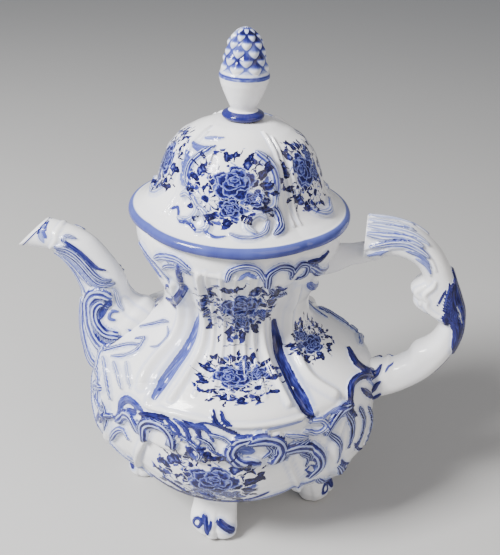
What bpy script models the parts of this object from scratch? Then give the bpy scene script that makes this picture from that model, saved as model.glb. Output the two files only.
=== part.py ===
"""Footed porcelain pot with a lift-off lid: a four-lobed bowl on four paw feet, a hollow spout,
a scrolled handle, a domed lid and its pointed knob. +Z is up, -X the spout, +X the handle,
-Y the front. The origin is on the axis of the pot, on the table."""

import math

import bmesh
import bpy
from mathutils import Vector

for old in list(bpy.data.objects):
    bpy.data.objects.remove(old, do_unlink=True)

# Sizes in millimetres.
UNIT = 0.001
WALL = 4.5  # slip-cast shell
GAP = 0.3  # between pieces that touch
BASE_Z = 28.0  # underside of the bowl, above the table
BODY_H = 208.0  # from there to the mouth
BASE_SIDE = 66.0
BASE_FRONT = 50.0
BELLY_SIDE = 108.0  # widest, on the spout and handle panels
BELLY_FRONT = 98.0  # widest, on the front and back panels
BELLY_CORNER = 93.0  # widest, in the four valleys
NECK_R = 52.0
MOUTH_R = 71.0
CORNER = 0.965  # valley radius over panel radius at the mouth and the lid's rim
LID_OVERHANG = 5.0
LID_H = 66.7  # from the rim's underside to the top of the dome
DOME_R = 56.0  # dome above its flange
RING_DEPTH = 11.0  # locating ring inside the mouth
RING_CLEARANCE = 2.0
FINIAL_H = 57.7
FINIAL_R = 16.0
FOOT_FRONT = 59.0  # middle of the front and back paws, from the axis
FOOT_SIDE = 70.0  # middle of the other two
FOOT_W = 38.0
SPOUT_W = 54.0  # across its root
HANDLE_W = 25.0
HOLE_R = 2.6  # strainer holes
HOLE_PITCH = 9.0
SIDES = 40  # of the bowl and the lid
TURNED = 20  # sides of the knob

# The spout, handle, paws and lid below are drawn for these sizes and follow the ones above.
DRAWN_BASE, DRAWN_BODY, DRAWN_NECK, DRAWN_BELLY = 28.0, 208.0, 52.0, 108.0
DRAWN_RIM, DRAWN_DOME, DRAWN_LID, DRAWN_FINIAL, DRAWN_FINIAL_R = 76.0, 56.0, 66.7, 57.7, 16.0
DRAWN_SPOUT_W, DRAWN_HANDLE_W, DRAWN_FOOT, DRAWN_FOOT_W = 54.0, 25.0, 59.0, 38.0

MOUTH_Z = BASE_Z + BODY_H
BASE_CORNER = BASE_FRONT * 1.02
NECK_CORNER = NECK_R * 0.9
MOUTH_CORNER = MOUTH_R * CORNER
RIM_R = MOUTH_R + LID_OVERHANG

# Bowl outline from the bottom up: share of BODY_H, the two radii it lies between, and how far.
OUTLINE = (
    (0.01, "base", "belly", 0.00), (0.03, "base", "belly", 0.21), (0.058, "base", "belly", 0.44),
    (0.09, "base", "belly", 0.63), (0.145, "base", "belly", 0.84), (0.19, "base", "belly", 0.96),
    (0.25, "base", "belly", 1.0), (0.325, "neck", "belly", 1.0), (0.395, "neck", "belly", 0.985),
    (0.44, "neck", "belly", 0.95), (0.475, "neck", "belly", 0.905), (0.49, "neck", "belly", 0.86),
    (0.505, "neck", "belly", 0.78), (0.524, "neck", "belly", 0.67), (0.543, "neck", "belly", 0.56),
    (0.563, "neck", "belly", 0.43), (0.582, "neck", "belly", 0.29), (0.60, "neck", "belly", 0.17),
    (0.625, "neck", "belly", 0.08), (0.65, "neck", "belly", 0.03), (0.69, "neck", "mouth", 0.0),
    (0.737, "neck", "mouth", 0.05), (0.76, "neck", "mouth", 0.2), (0.79, "neck", "mouth", 0.33),
    (0.822, "neck", "mouth", 0.42), (0.87, "neck", "mouth", 0.68), (0.923, "neck", "mouth", 0.97),
    (0.96, "neck", "mouth", 1.0), (0.99, "neck", "mouth", 0.99),
)  # fmt: skip
RADII = {
    "side": {"base": BASE_SIDE, "belly": BELLY_SIDE, "neck": NECK_R, "mouth": MOUTH_R},
    "front": {"base": BASE_FRONT, "belly": BELLY_FRONT, "neck": NECK_R, "mouth": MOUTH_R},
    "corner": {"base": BASE_CORNER, "belly": BELLY_CORNER, "neck": NECK_CORNER, "mouth": MOUTH_CORNER},
}


def lobed(angle, side, front, corner):
    """Radius of a four-lobed outline: rounded panels that meet in a valley on each diagonal."""
    nearest = round(angle / (math.pi / 2))
    fullness = max(0.0, math.cos(2 * (angle - nearest * math.pi / 2))) ** 0.85
    return corner + ((front if nearest % 2 else side) - corner) * fullness


def lobed_ring(z, side, front, corner):
    angles = [2 * math.pi * i / SIDES for i in range(SIDES)]
    radii = [lobed(a, side, front, corner) for a in angles]
    return [(r * math.cos(a), r * math.sin(a), z) for a, r in zip(angles, radii)]


def outline_radius(z, panel):
    """Outer radius of the bowl at height z."""
    radii = RADII[panel]
    rows = [(BASE_Z + h * BODY_H, radii[a] + (radii[b] - radii[a]) * s) for h, a, b, s in OUTLINE]
    if z <= rows[0][0]:
        return rows[0][1]
    for (z0, r0), (z1, r1) in zip(rows, rows[1:]):
        if z <= z1:
            return r0 + (r1 - r0) * (z - z0) / (z1 - z0)
    return rows[-1][1]


def inner_radius(z, panel):
    """Radius at height z that keeps the whole wall at least WALL thick."""
    steps = [WALL * i / 6 for i in range(-6, 7)]
    return min(outline_radius(z + d, panel) - math.sqrt(max(0.0, WALL * WALL - d * d)) for d in steps)


def height(drawn):
    """Height on the bowl, so that what joins it follows it."""
    return BASE_Z + (drawn - DRAWN_BASE) / DRAWN_BODY * BODY_H


def distance(drawn):
    """Distance from the axis: with the neck, then with the belly, then with its reach."""
    if drawn <= DRAWN_NECK:
        return drawn * NECK_R / DRAWN_NECK
    if drawn <= DRAWN_BELLY:
        share = (drawn - DRAWN_NECK) / (DRAWN_BELLY - DRAWN_NECK)
        return NECK_R + share * (BELLY_SIDE - NECK_R)
    return BELLY_SIDE + drawn - DRAWN_BELLY


def finish(name, bm, color, roughness):
    bmesh.ops.recalc_face_normals(bm, faces=bm.faces)
    mesh = bpy.data.meshes.new(name)
    bm.to_mesh(mesh)
    bm.free()
    for face in mesh.polygons:
        face.use_smooth = True
    obj = bpy.data.objects.new(name, mesh)
    bpy.context.scene.collection.objects.link(obj)
    material = bpy.data.materials.new(name)
    material.use_nodes = True
    shader = material.node_tree.nodes["Principled BSDF"]
    shader.inputs["Base Color"].default_value = (*color, 1)
    shader.inputs["Roughness"].default_value = roughness
    mesh.materials.append(material)
    return obj


def loft(rings):
    """Closed mesh through rings of equal length, capped at both ends. Points in millimetres."""
    bm = bmesh.new()
    loops = [[bm.verts.new(Vector(p) * UNIT) for p in ring] for ring in rings]
    for low, high in zip(loops, loops[1:]):
        for i in range(len(low)):
            j = (i + 1) % len(low)
            bm.faces.new((low[i], low[j], high[j], high[i]))
    bm.faces.new(loops[0][::-1])
    bm.faces.new(loops[-1])
    return bm


def helper(obj):
    obj.hide_render = True
    obj.display_type = "WIRE"
    return obj


def combine(obj, other, operation):
    cut = obj.modifiers.new(other.name, "BOOLEAN")
    cut.operation = operation
    cut.solver = "EXACT"
    cut.object = other


def pair_ring(first, second, half_width, count, boxy=1.0):
    """Oval ring in the plane through two points of the XZ plane and the Y direction."""
    a, b = Vector((first[0], 0, first[1])), Vector((second[0], 0, second[1]))
    middle, reach = (a + b) / 2, (a - b) / 2
    points = []
    for i in range(count):
        t = 2 * math.pi * i / count
        c, s = math.cos(t), math.sin(t)
        c, s = math.copysign(abs(c) ** boxy, c), math.copysign(abs(s) ** boxy, s)
        points.append(tuple(middle + reach * c + Vector((0, half_width * s, 0))))
    return points


WHITE = (0.86, 0.87, 0.86)
BLUE = (0.05, 0.07, 0.35)

# Bowl: outside from the bottom up, over the lip, then inside down to the floor.
outer = [
    (BASE_Z + h * BODY_H, *(outline_radius(BASE_Z + h * BODY_H, p) for p in ("side", "front", "corner")))
    for h, _, _, _ in OUTLINE
]
inner_shares = (0.985, 0.93, 0.88, 0.83, 0.78, 0.735, 0.69, 0.64, 0.61, 0.58, 0.55, 0.52, 0.48,
                0.42, 0.33, 0.25, 0.18, 0.12, 0.07, 0.035)  # fmt: skip
inner = [
    (BASE_Z + h * BODY_H, *(inner_radius(BASE_Z + h * BODY_H, p) for p in ("side", "front", "corner")))
    for h in inner_shares
]
lip = (MOUTH_Z, MOUTH_R - 1.6, MOUTH_R - 1.6, MOUTH_CORNER - 1.6)
lip_inner = (MOUTH_Z, MOUTH_R - 3.0, MOUTH_R - 3.0, MOUTH_CORNER - 3.0)
foot_ring = (BASE_Z, BASE_SIDE * 0.86, BASE_FRONT * 0.86, BASE_CORNER * 0.86)
floor = (BASE_Z + WALL, BASE_SIDE * 0.75, BASE_FRONT * 0.75, BASE_CORNER * 0.75)
profile = [foot_ring, *outer, lip, lip_inner, *inner, floor]
pot_body = finish("pot_body", loft([lobed_ring(*row) for row in profile]), WHITE, 0.12)

# The bowl's outside grown by GAP, as a plain solid: it trims what is stuck on to the bowl.
grown = [(row[0], *(r + GAP for r in row[1:])) for row in (foot_ring, *outer)]
grown[0] = (BASE_Z - GAP, *grown[0][1:])
grown.append((MOUTH_Z + GAP, *grown[-1][1:]))
trim = helper(finish("trim", loft([lobed_ring(*row) for row in grown]), WHITE, 0.5))

# Strainer holes through the wall behind the spout, one in the middle and six round it.
turn = [2 * math.pi * i / 10 for i in range(10)]
for number in range(7):
    angle, spread = math.pi / 3 * number, HOLE_PITCH if number else 0.0
    side, up = spread * math.cos(angle), height(118) + spread * math.sin(angle)
    rings = [
        [(x, side + HOLE_R * math.cos(t), up + HOLE_R * math.sin(t)) for t in turn]
        for x in (-BELLY_SIDE - 20, -BELLY_SIDE + 40)
    ]
    hole = helper(finish(f"strainer_hole_{number}", loft(rings), WHITE, 0.5))
    combine(pot_body, hole, "DIFFERENCE")

# Spout: (lower point), (upper point), half width. It leaves the bowl as one wide mass, climbs
# beside the neck and bends out to a slanted mouth.
spout_rows = (
    ((96, 92), (56, 148), 24), ((110, 101), (66, 157), 27), ((115, 118), (73, 158), 24),
    ((117, 136), (79, 162), 20), ((116, 152), (82, 168), 17), ((115, 162), (83, 174), 15.5),
    ((118, 171), (87, 182), 14), ((123, 181), (94, 192), 13), ((131, 190), (105, 204), 12.3),
    ((138, 193.5), (119, 211), 12), ((147, 194), (132, 215), 11.7), ((162, 194), (140, 216), 11),
)  # fmt: skip


def spout_rings(inset, rows):
    rings = []
    for (low_x, low_z), (top_x, top_z), wide in rows:
        low = Vector((-distance(low_x), height(low_z)))
        top = Vector((-distance(top_x), height(top_z)))
        along = (top - low).normalized() * inset
        half_width = wide * SPOUT_W / DRAWN_SPOUT_W - inset
        rings.append(pair_ring(tuple(top - along), tuple(low + along), half_width, 18))
    return rings


spout = finish("spout", loft(spout_rings(0, spout_rows)), WHITE, 0.12)
root = ((84, 84), (44, 140), 24)
beyond = ((177, 193), (155, 217), 11)
bore_rows = (root, *spout_rows[1:-1], beyond)
bore = helper(finish("spout_bore", loft(spout_rings(WALL, bore_rows)), WHITE, 0.5))
combine(spout, bore, "DIFFERENCE")
combine(spout, trim, "DIFFERENCE")

# Handle: (outer point), (inner point), half width, from inside the bowl up to the cut end of
# the top scroll. The swelling on the inside is the volute. A strut holds the scroll to the neck.
handle_rows = (
    ((90, 92), (84, 122), 12.5), ((108, 101), (103, 129), 12.5), ((119, 106), (113, 131), 12.2),
    ((130, 113), (121, 135), 12), ((142, 123), (128, 143), 12), ((151, 135), (136, 151), 12),
    ((157, 147), (142, 157), 12), ((161, 160), (145, 165), 12), ((162.4, 171), (145, 173), 12.5),
    ((161, 181), (132, 178), 12.5), ((158, 189), (124, 187), 12.5), ((155, 195), (123, 194), 12.5),
    ((152, 201), (128, 201), 12.5), ((149, 207), (128, 206), 12.5), ((144, 216), (124, 212), 12.5),
    ((138, 224), (119, 215.5), 12.5), ((129, 232), (113, 217.5), 12.5), ((119, 238), (106, 218), 12.5),
    ((108, 241), (100, 216), 12.5), ((98, 242), (94, 213), 12.5), ((87, 242), (87, 212), 12.5),
)  # fmt: skip
strut_rows = (
    ((50, 218), (50, 194), 11), ((62, 219), (58, 196), 11), ((72, 220), (70, 200.5), 10),
    ((80, 221), (80, 207), 9.5), ((90, 224), (91, 211), 9.5), ((104, 229), (105, 219), 8),
)  # fmt: skip
belly_growth = BELLY_SIDE - DRAWN_BELLY
rim_growth = RIM_R - DRAWN_RIM


def clear_of_lid(point):
    """The lower end follows the belly. Higher up, the handle also keeps clear of the lid's rim."""
    x, z = point
    share = max(0.0, min(1.0, (z - 130) / 70))
    return distance(x) if z < 130 else x + belly_growth + rim_growth * share, height(z)


def on_neck(point):
    """The strut's inner end follows the neck, and its outer end the handle."""
    x, z = point
    share = max(0.0, min(1.0, (x - 50) / 40))
    neck = x * NECK_R / DRAWN_NECK
    return neck + (x + belly_growth + rim_growth - neck) * share, height(z)


def handle_rings(rows, place, boxy):
    widths = [wide * HANDLE_W / DRAWN_HANDLE_W for _, _, wide in rows]
    pairs = [(place(first), place(second)) for first, second, _ in rows]
    return [pair_ring(*pair, wide, 14, boxy) for pair, wide in zip(pairs, widths)]


handle = finish("handle", loft(handle_rings(handle_rows, clear_of_lid, 0.75)), WHITE, 0.12)
strut = helper(finish("strut", loft(handle_rings(strut_rows, on_neck, 0.85)), WHITE, 0.5))
combine(handle, strut, "UNION")
combine(handle, trim, "DIFFERENCE")

# Four paw feet: height, inner radius, outer radius, half width. The top is trimmed to the bowl.
foot_rows = (
    (0, 47, 69.5, 16.5), (2.5, 45, 72.3, 18.5), (8, 43.5, 73.2, 19), (15, 42, 71, 18),
    (22, 41, 67.5, 16.5), (30, 40, 66, 16), (38, 39, 68, 16.5), (54, 38, 70, 17),
)  # fmt: skip
TOE_TOP, TOE_DEPTH = 16.0, 1.5
for name, heading, out_to in (
    ("foot_front", -90, FOOT_FRONT), ("foot_back", 90, FOOT_FRONT),
    ("foot_spout_side", 180, FOOT_SIDE), ("foot_handle_side", 0, FOOT_SIDE),
):  # fmt: skip
    out = Vector((math.cos(math.radians(heading)), math.sin(math.radians(heading)), 0))
    across = Vector((-out.y, out.x, 0))
    rings = []
    for z, near, far, wide in foot_rows:
        ring = []
        for i in range(24):
            t = 2 * math.pi * i / 24
            toes = TOE_DEPTH * math.cos(6 * t) if math.cos(t) > 0.3 and z < TOE_TOP else 0.0
            radial = (near + far) / 2 + ((far - near) / 2 + toes) * math.cos(t)
            radial += out_to - DRAWN_FOOT
            point = out * radial + across * wide * FOOT_W / DRAWN_FOOT_W * math.sin(t)
            ring.append((point.x, point.y, z * BASE_Z / DRAWN_BASE))
        rings.append(ring)
    foot = finish(name, loft(rings), WHITE, 0.15)
    combine(foot, trim, "DIFFERENCE")

# Lid: outside from the top down to the rim's bead, the flat seat, the locating ring, then inside.
SEAT_Z = MOUTH_Z + GAP
RING_R = MOUTH_R - WALL - RING_CLEARANCE


def up(drawn):
    """Height on the lid, above its seat."""
    return SEAT_Z + drawn / DRAWN_LID * LID_H


dome = DOME_R / DRAWN_DOME
lid_rows = (
    (up(DRAWN_LID), 13.0, 1.0), (up(65), 22 * dome, 0.96), (up(61.5), 31 * dome, 0.91),
    (up(55.7), 41 * dome, 0.87), (up(45.7), 49 * dome, 0.85), (up(32.7), 54 * dome, 0.86),
    (up(23.7), 56 * dome, 0.88), (up(17), RIM_R - 16, 0.91), (up(11.5), RIM_R - 11, 0.94),
    (up(7.6), RIM_R - 5, CORNER), (SEAT_Z + 6.3, RIM_R - 1.6, CORNER), (SEAT_Z + 3.4, RIM_R, CORNER),
    (SEAT_Z + 1.0, RIM_R - 0.8, CORNER), (SEAT_Z, RIM_R - 3.0, CORNER), (SEAT_Z, RING_R, CORNER),
    (SEAT_Z - RING_DEPTH + 1.5, RING_R - 0.6, CORNER), (SEAT_Z - RING_DEPTH, RING_R - 1.6, CORNER),
    (SEAT_Z - RING_DEPTH, RING_R - 3.6, CORNER), (SEAT_Z - RING_DEPTH + 1.0, RING_R - 4.6, CORNER),
    (up(4), RING_R - 4.8, CORNER), (up(12), RING_R - 8.5, 0.93), (up(20), 51.5 * dome, 0.88),
    (up(31), 49.5 * dome, 0.86), (up(43), 44.5 * dome, 0.85), (up(51.5), 37 * dome, 0.87),
    (up(57), 28 * dome, 0.91), (up(60.8), 16 * dome, 0.97),
)  # fmt: skip
lid = finish("lid", loft([lobed_ring(z, r, r, r * c) for z, r, c in lid_rows]), WHITE, 0.12)

# Knob: collar, cup and pointed cone, cast in one and stuck on the dome.
knob_base = SEAT_Z + LID_H + GAP
knob_rows = (
    (0, 12.5), (1.2, 14.2), (2.9, 14.8), (4.7, 14.2), (6.0, 11.5), (7.7, 8.6), (11.5, 9.4),
    (16.5, 12.2), (21.5, 13.8), (26.0, 14.3), (28.2, 16.0), (30.6, 15.4), (38.5, 12.4),
    (46.5, 9.5), (53, 6.0), (56.6, 2.6), (57.7, 0.9),
)  # fmt: skip
turn = [2 * math.pi * i / TURNED for i in range(TURNED)]
knob_rings = []
for z, r in knob_rows:
    radius, top = r * FINIAL_R / DRAWN_FINIAL_R, knob_base + z * FINIAL_H / DRAWN_FINIAL
    knob_rings.append([(radius * math.cos(t), radius * math.sin(t), top) for t in turn])
finial = finish("finial", loft(knob_rings), BLUE, 0.12)
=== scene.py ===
import bisect
import math

import bmesh
import bpy
from mathutils import Matrix, Vector, noise
from mathutils.kdtree import KDTree


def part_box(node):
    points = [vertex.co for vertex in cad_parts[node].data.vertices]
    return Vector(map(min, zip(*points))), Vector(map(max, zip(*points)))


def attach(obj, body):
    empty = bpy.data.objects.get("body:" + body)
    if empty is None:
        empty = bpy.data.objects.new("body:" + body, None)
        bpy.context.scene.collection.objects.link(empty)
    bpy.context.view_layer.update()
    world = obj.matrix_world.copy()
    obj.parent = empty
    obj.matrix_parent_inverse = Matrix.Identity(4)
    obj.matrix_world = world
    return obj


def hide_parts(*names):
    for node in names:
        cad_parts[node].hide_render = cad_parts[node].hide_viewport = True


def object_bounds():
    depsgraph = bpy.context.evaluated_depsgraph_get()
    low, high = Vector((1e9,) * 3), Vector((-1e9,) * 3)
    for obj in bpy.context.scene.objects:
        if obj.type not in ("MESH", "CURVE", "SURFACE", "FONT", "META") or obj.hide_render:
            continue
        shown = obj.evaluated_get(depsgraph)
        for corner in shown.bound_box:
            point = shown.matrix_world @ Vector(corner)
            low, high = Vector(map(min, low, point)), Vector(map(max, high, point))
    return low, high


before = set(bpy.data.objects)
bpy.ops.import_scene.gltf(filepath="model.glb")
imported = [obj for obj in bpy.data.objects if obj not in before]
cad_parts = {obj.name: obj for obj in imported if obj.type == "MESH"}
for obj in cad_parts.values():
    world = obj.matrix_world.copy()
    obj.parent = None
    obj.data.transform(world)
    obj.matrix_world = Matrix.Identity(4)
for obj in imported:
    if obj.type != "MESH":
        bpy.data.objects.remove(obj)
cad_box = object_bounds()

# ---------------------------------------------------------------------------------------
# Bowl: slip-cast white porcelain, four lobed panels under a waisted, fluted neck. Scrolls and
# ribs stand out of the mould, cobalt is brushed over them and flower prints lie under the glaze.
# It is drawn in millimetres from the axis of the pot.
MM = 0.001
pot_low, pot_high = (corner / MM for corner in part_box("pot_body"))
BOWL_RINGS, BOWL_AROUND = 1.3, 352  # mm between rings, and points round each
WALL = 4.5
LIP_Z = pot_high.z
BOLDNESS, FOLD_BOLDNESS = 1.35, 1.25  # of the relief under the strokes, and of the plain ribs

# Height, then the radius of the spout and handle panels, the front and back ones, the valleys.
bowl_outline = (
    (pot_low.z, 50, 36, 37), (28.6, 58, 43, 44), (30.1, 66, 50, 51), (34.2, 74.8, 59.6, 59.8),
    (40.1, 84.5, 70, 69.5), (46.7, 92.5, 78.6, 77.5), (58.2, 101.3, 88, 86.3),
    (67.5, 106, 93, 91.3), (80, 107.6, 94.8, 93), (95.6, 107.2, 94.6, 93),
    (110.2, 106, 94, 92.3), (119.5, 104.6, 93, 91), (126.8, 102.7, 91.5, 89),
    (129.9, 99.6, 89.5, 86.5), (133, 95, 86.5, 82.8), (137, 89, 81.8, 77.8),
    (140.9, 82.8, 77, 72.7), (145.1, 75.8, 71.2, 66.7), (149.1, 68, 65, 60.2),
    (152.8, 61.5, 59.6, 54.7), (158, 56.4, 55.5, 50.5), (163.2, 53.7, 53.2, 48.2),
    (171.5, 52, 51.8, 46.8), (181.3, 52.9, 52.6, 47.9), (186.1, 55.4, 55.2, 51.1),
    (192.3, 58.2, 58, 54), (199, 60, 59.8, 55.9), (209, 64.6, 64.6, 61.6),
    (220, 70.2, 70.2, 67.9), (227.7, 70.9, 70.9, 68.5), (232, 70.9, 70.9, 68.4),
    (LIP_Z - 1.6, 70.6, 70.6, 68.1), (LIP_Z, 69, 69, 66.5),
)  # fmt: skip
bowl_inside = (
    (LIP_Z - 0.2, 67.4, 67.4, 65), (LIP_Z - 3, 66.3, 66.3, 63.8), (228, 66.3, 66.3, 63.8),
    (220, 65, 65, 62.4), (211, 61, 61, 58), (202, 56.3, 56.3, 52), (193, 53.6, 53.6, 49.4),
    (184, 49.4, 49.4, 45), (175, 47.4, 47.4, 42.2), (165, 47.6, 47.6, 42.4),
    (158, 50, 50, 44.5), (153, 54.5, 54, 48.5), (147, 63, 60, 55), (141, 76, 70, 66),
    (136, 85, 78, 74), (128, 95, 86, 83), (118, 100, 89.5, 87), (104, 102.6, 89.8, 88),
    (82, 103, 90, 88), (66, 101, 88, 86), (52, 91, 78, 76), (42, 78, 65, 64), (36, 64, 52, 52),
    (33, 45, 36, 36), (WALL + pot_low.z, 20, 16, 16), (WALL + pot_low.z, 0, 0, 0),
)  # fmt: skip


def eased(low, high, value):
    share = min(1.0, max(0.0, (value - low) / (high - low)))
    return share * share * (3 - 2 * share)


def finely(rows, spacing, passes=5):
    """The same outline with rings at even steps along it, its corners softened."""
    fine = [rows[0]]
    for low, high in zip(rows, rows[1:]):
        steps = max(1, round(math.hypot(high[0] - low[0], high[1] - low[1]) / spacing))
        for step in range(1, steps + 1):
            fine.append(tuple(a + (b - a) * step / steps for a, b in zip(low, high)))
    for _ in range(passes):
        middle = [
            tuple((a + 2 * b + c) / 4 for a, b, c in zip(*three))
            for three in zip(fine, fine[1:], fine[2:])
        ]
        fine = [fine[0], *middle, fine[-1]]
    return fine


def along_path(points):
    """How far along a line of points each one lies."""
    reached = [0.0]
    for before, point in zip(points, points[1:]):
        reached.append(reached[-1] + (Vector(point) - Vector(before)).length)
    return reached


def curved(corners, t):
    """A point between the middle two of four, on the smooth curve through them all."""
    return [
        0.5 * (2 * b + (c - a) * t + (2 * a - 5 * b + 4 * c - d) * t * t
               + (3 * b - a - 3 * c + d) * t**3)
        for a, b, c, d in zip(*corners)
    ]  # fmt: skip


def mixed(one, other, share):
    return [a + (b - a) * share for a, b in zip(one, other)]


def polar(angle, radius, z):
    return Vector((radius * math.cos(angle), radius * math.sin(angle), z))


def turned(rings, around, place):
    """A tube with closed poles, each of its points moved to place(angle, ring)."""
    bm = bmesh.new()
    line = [bm.verts.new((1, 0, number)) for number in range(rings)]
    for low, high in zip(line, line[1:]):
        bm.edges.new((low, high))
    bmesh.ops.spin(
        bm, geom=bm.verts[:] + bm.edges[:], cent=(0, 0, 0), axis=(0, 0, 1), dvec=(0, 0, 0),
        angle=2 * math.pi, steps=around, use_merge=True, use_duplicate=False,
    )  # fmt: skip
    ring_of = bm.verts.layers.float.new("ring")
    for vert in bm.verts:
        ring = round(vert.co.z)
        vert[ring_of] = ring
        vert.co = place(math.atan2(vert.co.y, vert.co.x), ring)
    bmesh.ops.remove_doubles(bm, verts=bm.verts, dist=1e-4)
    bmesh.ops.recalc_face_normals(bm, faces=bm.faces)
    bm.normal_update()
    return bm, ring_of


def lobed(angle, side, front, valley):
    """Radius of four rounded panels that meet in a valley on each diagonal."""
    nearest = round(angle / (math.pi / 2))
    fullness = max(0.0, math.cos(2 * (angle - nearest * math.pi / 2))) ** 0.85
    return valley + ((front if nearest % 2 else side) - valley) * fullness


def around_from(angle, centre):
    """The turn from centre to angle, between half a turn back and half a turn on."""
    return (angle - centre + math.pi) % (2 * math.pi) - math.pi


outer_rows = finely(bowl_outline, BOWL_RINGS)
INSIDE_RINGS = 6  # mm between rings
BOWL_FOOT = ((pot_low.z, 0, 0, 0), (pot_low.z, 24, 18, 18))  # the flat underside
bowl_rows = [*BOWL_FOOT, *outer_rows, *finely(bowl_inside, INSIDE_RINGS, 0)]
OUTER_FIRST, OUTER_LAST = len(BOWL_FOOT), len(BOWL_FOOT) + len(outer_rows) - 1
bowl_path = along_path(bowl_rows)
CURB = 4  # marks keep above this ring, where the wall has turned up from the underside
outer_heights = [row[0] for row in outer_rows[CURB:]]
# The mould turns two of the neck's valleys towards the middle: where, by how much, how broad.
TURNED_VALLEYS, VALLEY_TURN, VALLEY_SPREAD = (-117, 63), math.radians(18), math.radians(26)
# The front and the back panel are sunk between their ribs: where, half width, depth.
SUNK_PANELS, SUNK_HALF, SUNK_BY = (-88, 92), 33, 2.6


def bowl_radius(angle, z, side, front, valley):
    """Reach of the bowl's wall, with its turned valleys and sunk panels."""
    waist = eased(124, 140, z) * (1 - eased(194, 214, z))
    for centre in TURNED_VALLEYS:
        off = around_from(angle, math.radians(centre))
        angle -= VALLEY_TURN * waist * math.exp(-((off / VALLEY_SPREAD) ** 2))
    sunk = 0.0
    for centre in SUNK_PANELS:
        off = abs(math.degrees(around_from(angle, math.radians(centre))))
        edge = SUNK_HALF + 10 * eased(95, 45, z)
        sunk += 1 - eased(edge, edge + 3, off)
    sunk *= eased(47, 66, z) * (1 - eased(93, 98, z))
    return lobed(angle, side, front, valley) - SUNK_BY * sunk


def on_bowl(degrees, z):
    """A point of the bowl's outside, before its relief."""
    rows = outer_rows
    low = max(0, min(len(rows) - 2, bisect.bisect(outer_heights, z) + CURB - 1))
    share = (z - rows[low][0]) / max(1e-6, rows[low + 1][0] - rows[low][0])
    size = mixed(rows[low][1:], rows[low + 1][1:], share)
    angle = math.radians(degrees)
    return polar(angle, bowl_radius(around_from(angle, 0), z, *size), z)


class Marks:
    """Ridges and brush strokes laid on a surface along smooth paths."""

    STEP = 1.1  # mm between the samples of a stroke
    REACH, NEARBY = 14, 6  # mm from a point to the samples it may see, and how many of them
    STUB = 0.12  # share of its length that a stroke's blunt tips leave out
    BRISTLES = 7.3  # how far apart the streaks of two strokes are picked

    def __init__(self, surface, copies=((0, 1),)):
        self.surface = surface
        self.copies = copies  # (turn in degrees, 1 or -1 to mirror)
        self.samples = []
        self.count = 0

    def draw(self, path, half_width, height=0, ink=0, lines=0, ends=(0.4, 0.5)):
        """lines is 1 where the colour lies in grooves along the stroke, 0 where it is solid.
        ends are the shares of the stroke over which it opens and closes."""
        half_width *= 1 + 0.28 * lines
        for turn, hand in self.copies:
            self.lay([(turn + hand * a, b) for a, b in path], half_width, (height, ink, lines), ends)

    def lay(self, path, half_width, work, ends):
        path = [path[0], *path, path[-1]]
        spots = []
        for corners in zip(path, path[1:], path[2:], path[3:]):
            reach = (self.surface(*corners[2]) - self.surface(*corners[1])).length
            steps = max(2, math.ceil(reach / self.STEP))
            spots += [self.surface(*curved(corners, step / steps)) for step in range(steps)]
        spots.append(self.surface(*path[-1]))
        reached = along_path(spots)
        start, end = (max(share, self.STUB) for share in ends)
        self.count += 1
        for number, spot in enumerate(spots):
            share = reached[number] / reached[-1]
            wide = min(1, (self.STUB + share) / start, (1 + self.STUB - share) / end)
            ahead = spots[min(number + 1, len(spots) - 1)] - spots[max(number - 1, 0)]
            width = half_width * math.sin(wide * math.pi / 2)
            along = reached[number] / 10 + self.BRISTLES * self.count
            self.samples.append((spot, ahead.normalized(), width, along, work))

    def settle(self):
        self.tree = KDTree(len(self.samples))
        for number, sample in enumerate(self.samples):
            self.tree.insert(sample[0], number)
        self.tree.balance()

    def at(self, point, normal):
        """(inside, across, along, work): inside is 1 on the middle line and 0 at the edge."""
        best = (-2.0, 0.0, 0.0, (0.0, 0.0, 0.0))
        for _, number, gap in self.tree.find_n(point, self.NEARBY):
            if gap > self.REACH:
                break
            spot, ahead, width, along, work = self.samples[number]
            off = point - spot
            across = off.dot(ahead.cross(normal)) / width
            beyond = max(0.0, abs(off.dot(ahead)) - self.STEP * 0.6) / width
            inside = 1 - math.hypot(across, beyond)
            if inside > best[0]:
                best = (inside, across, along + off.dot(ahead) / 10, work)
        return best


def on_both_sides(marks, strokes):
    """Draws strokes on a tube, whose paths are (section, degrees), and their mirror images."""
    for side in (1, -1):
        for path, *how in strokes:
            marks.draw([(number, side * degrees) for number, degrees in path], *how)
    marks.settle()


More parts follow.
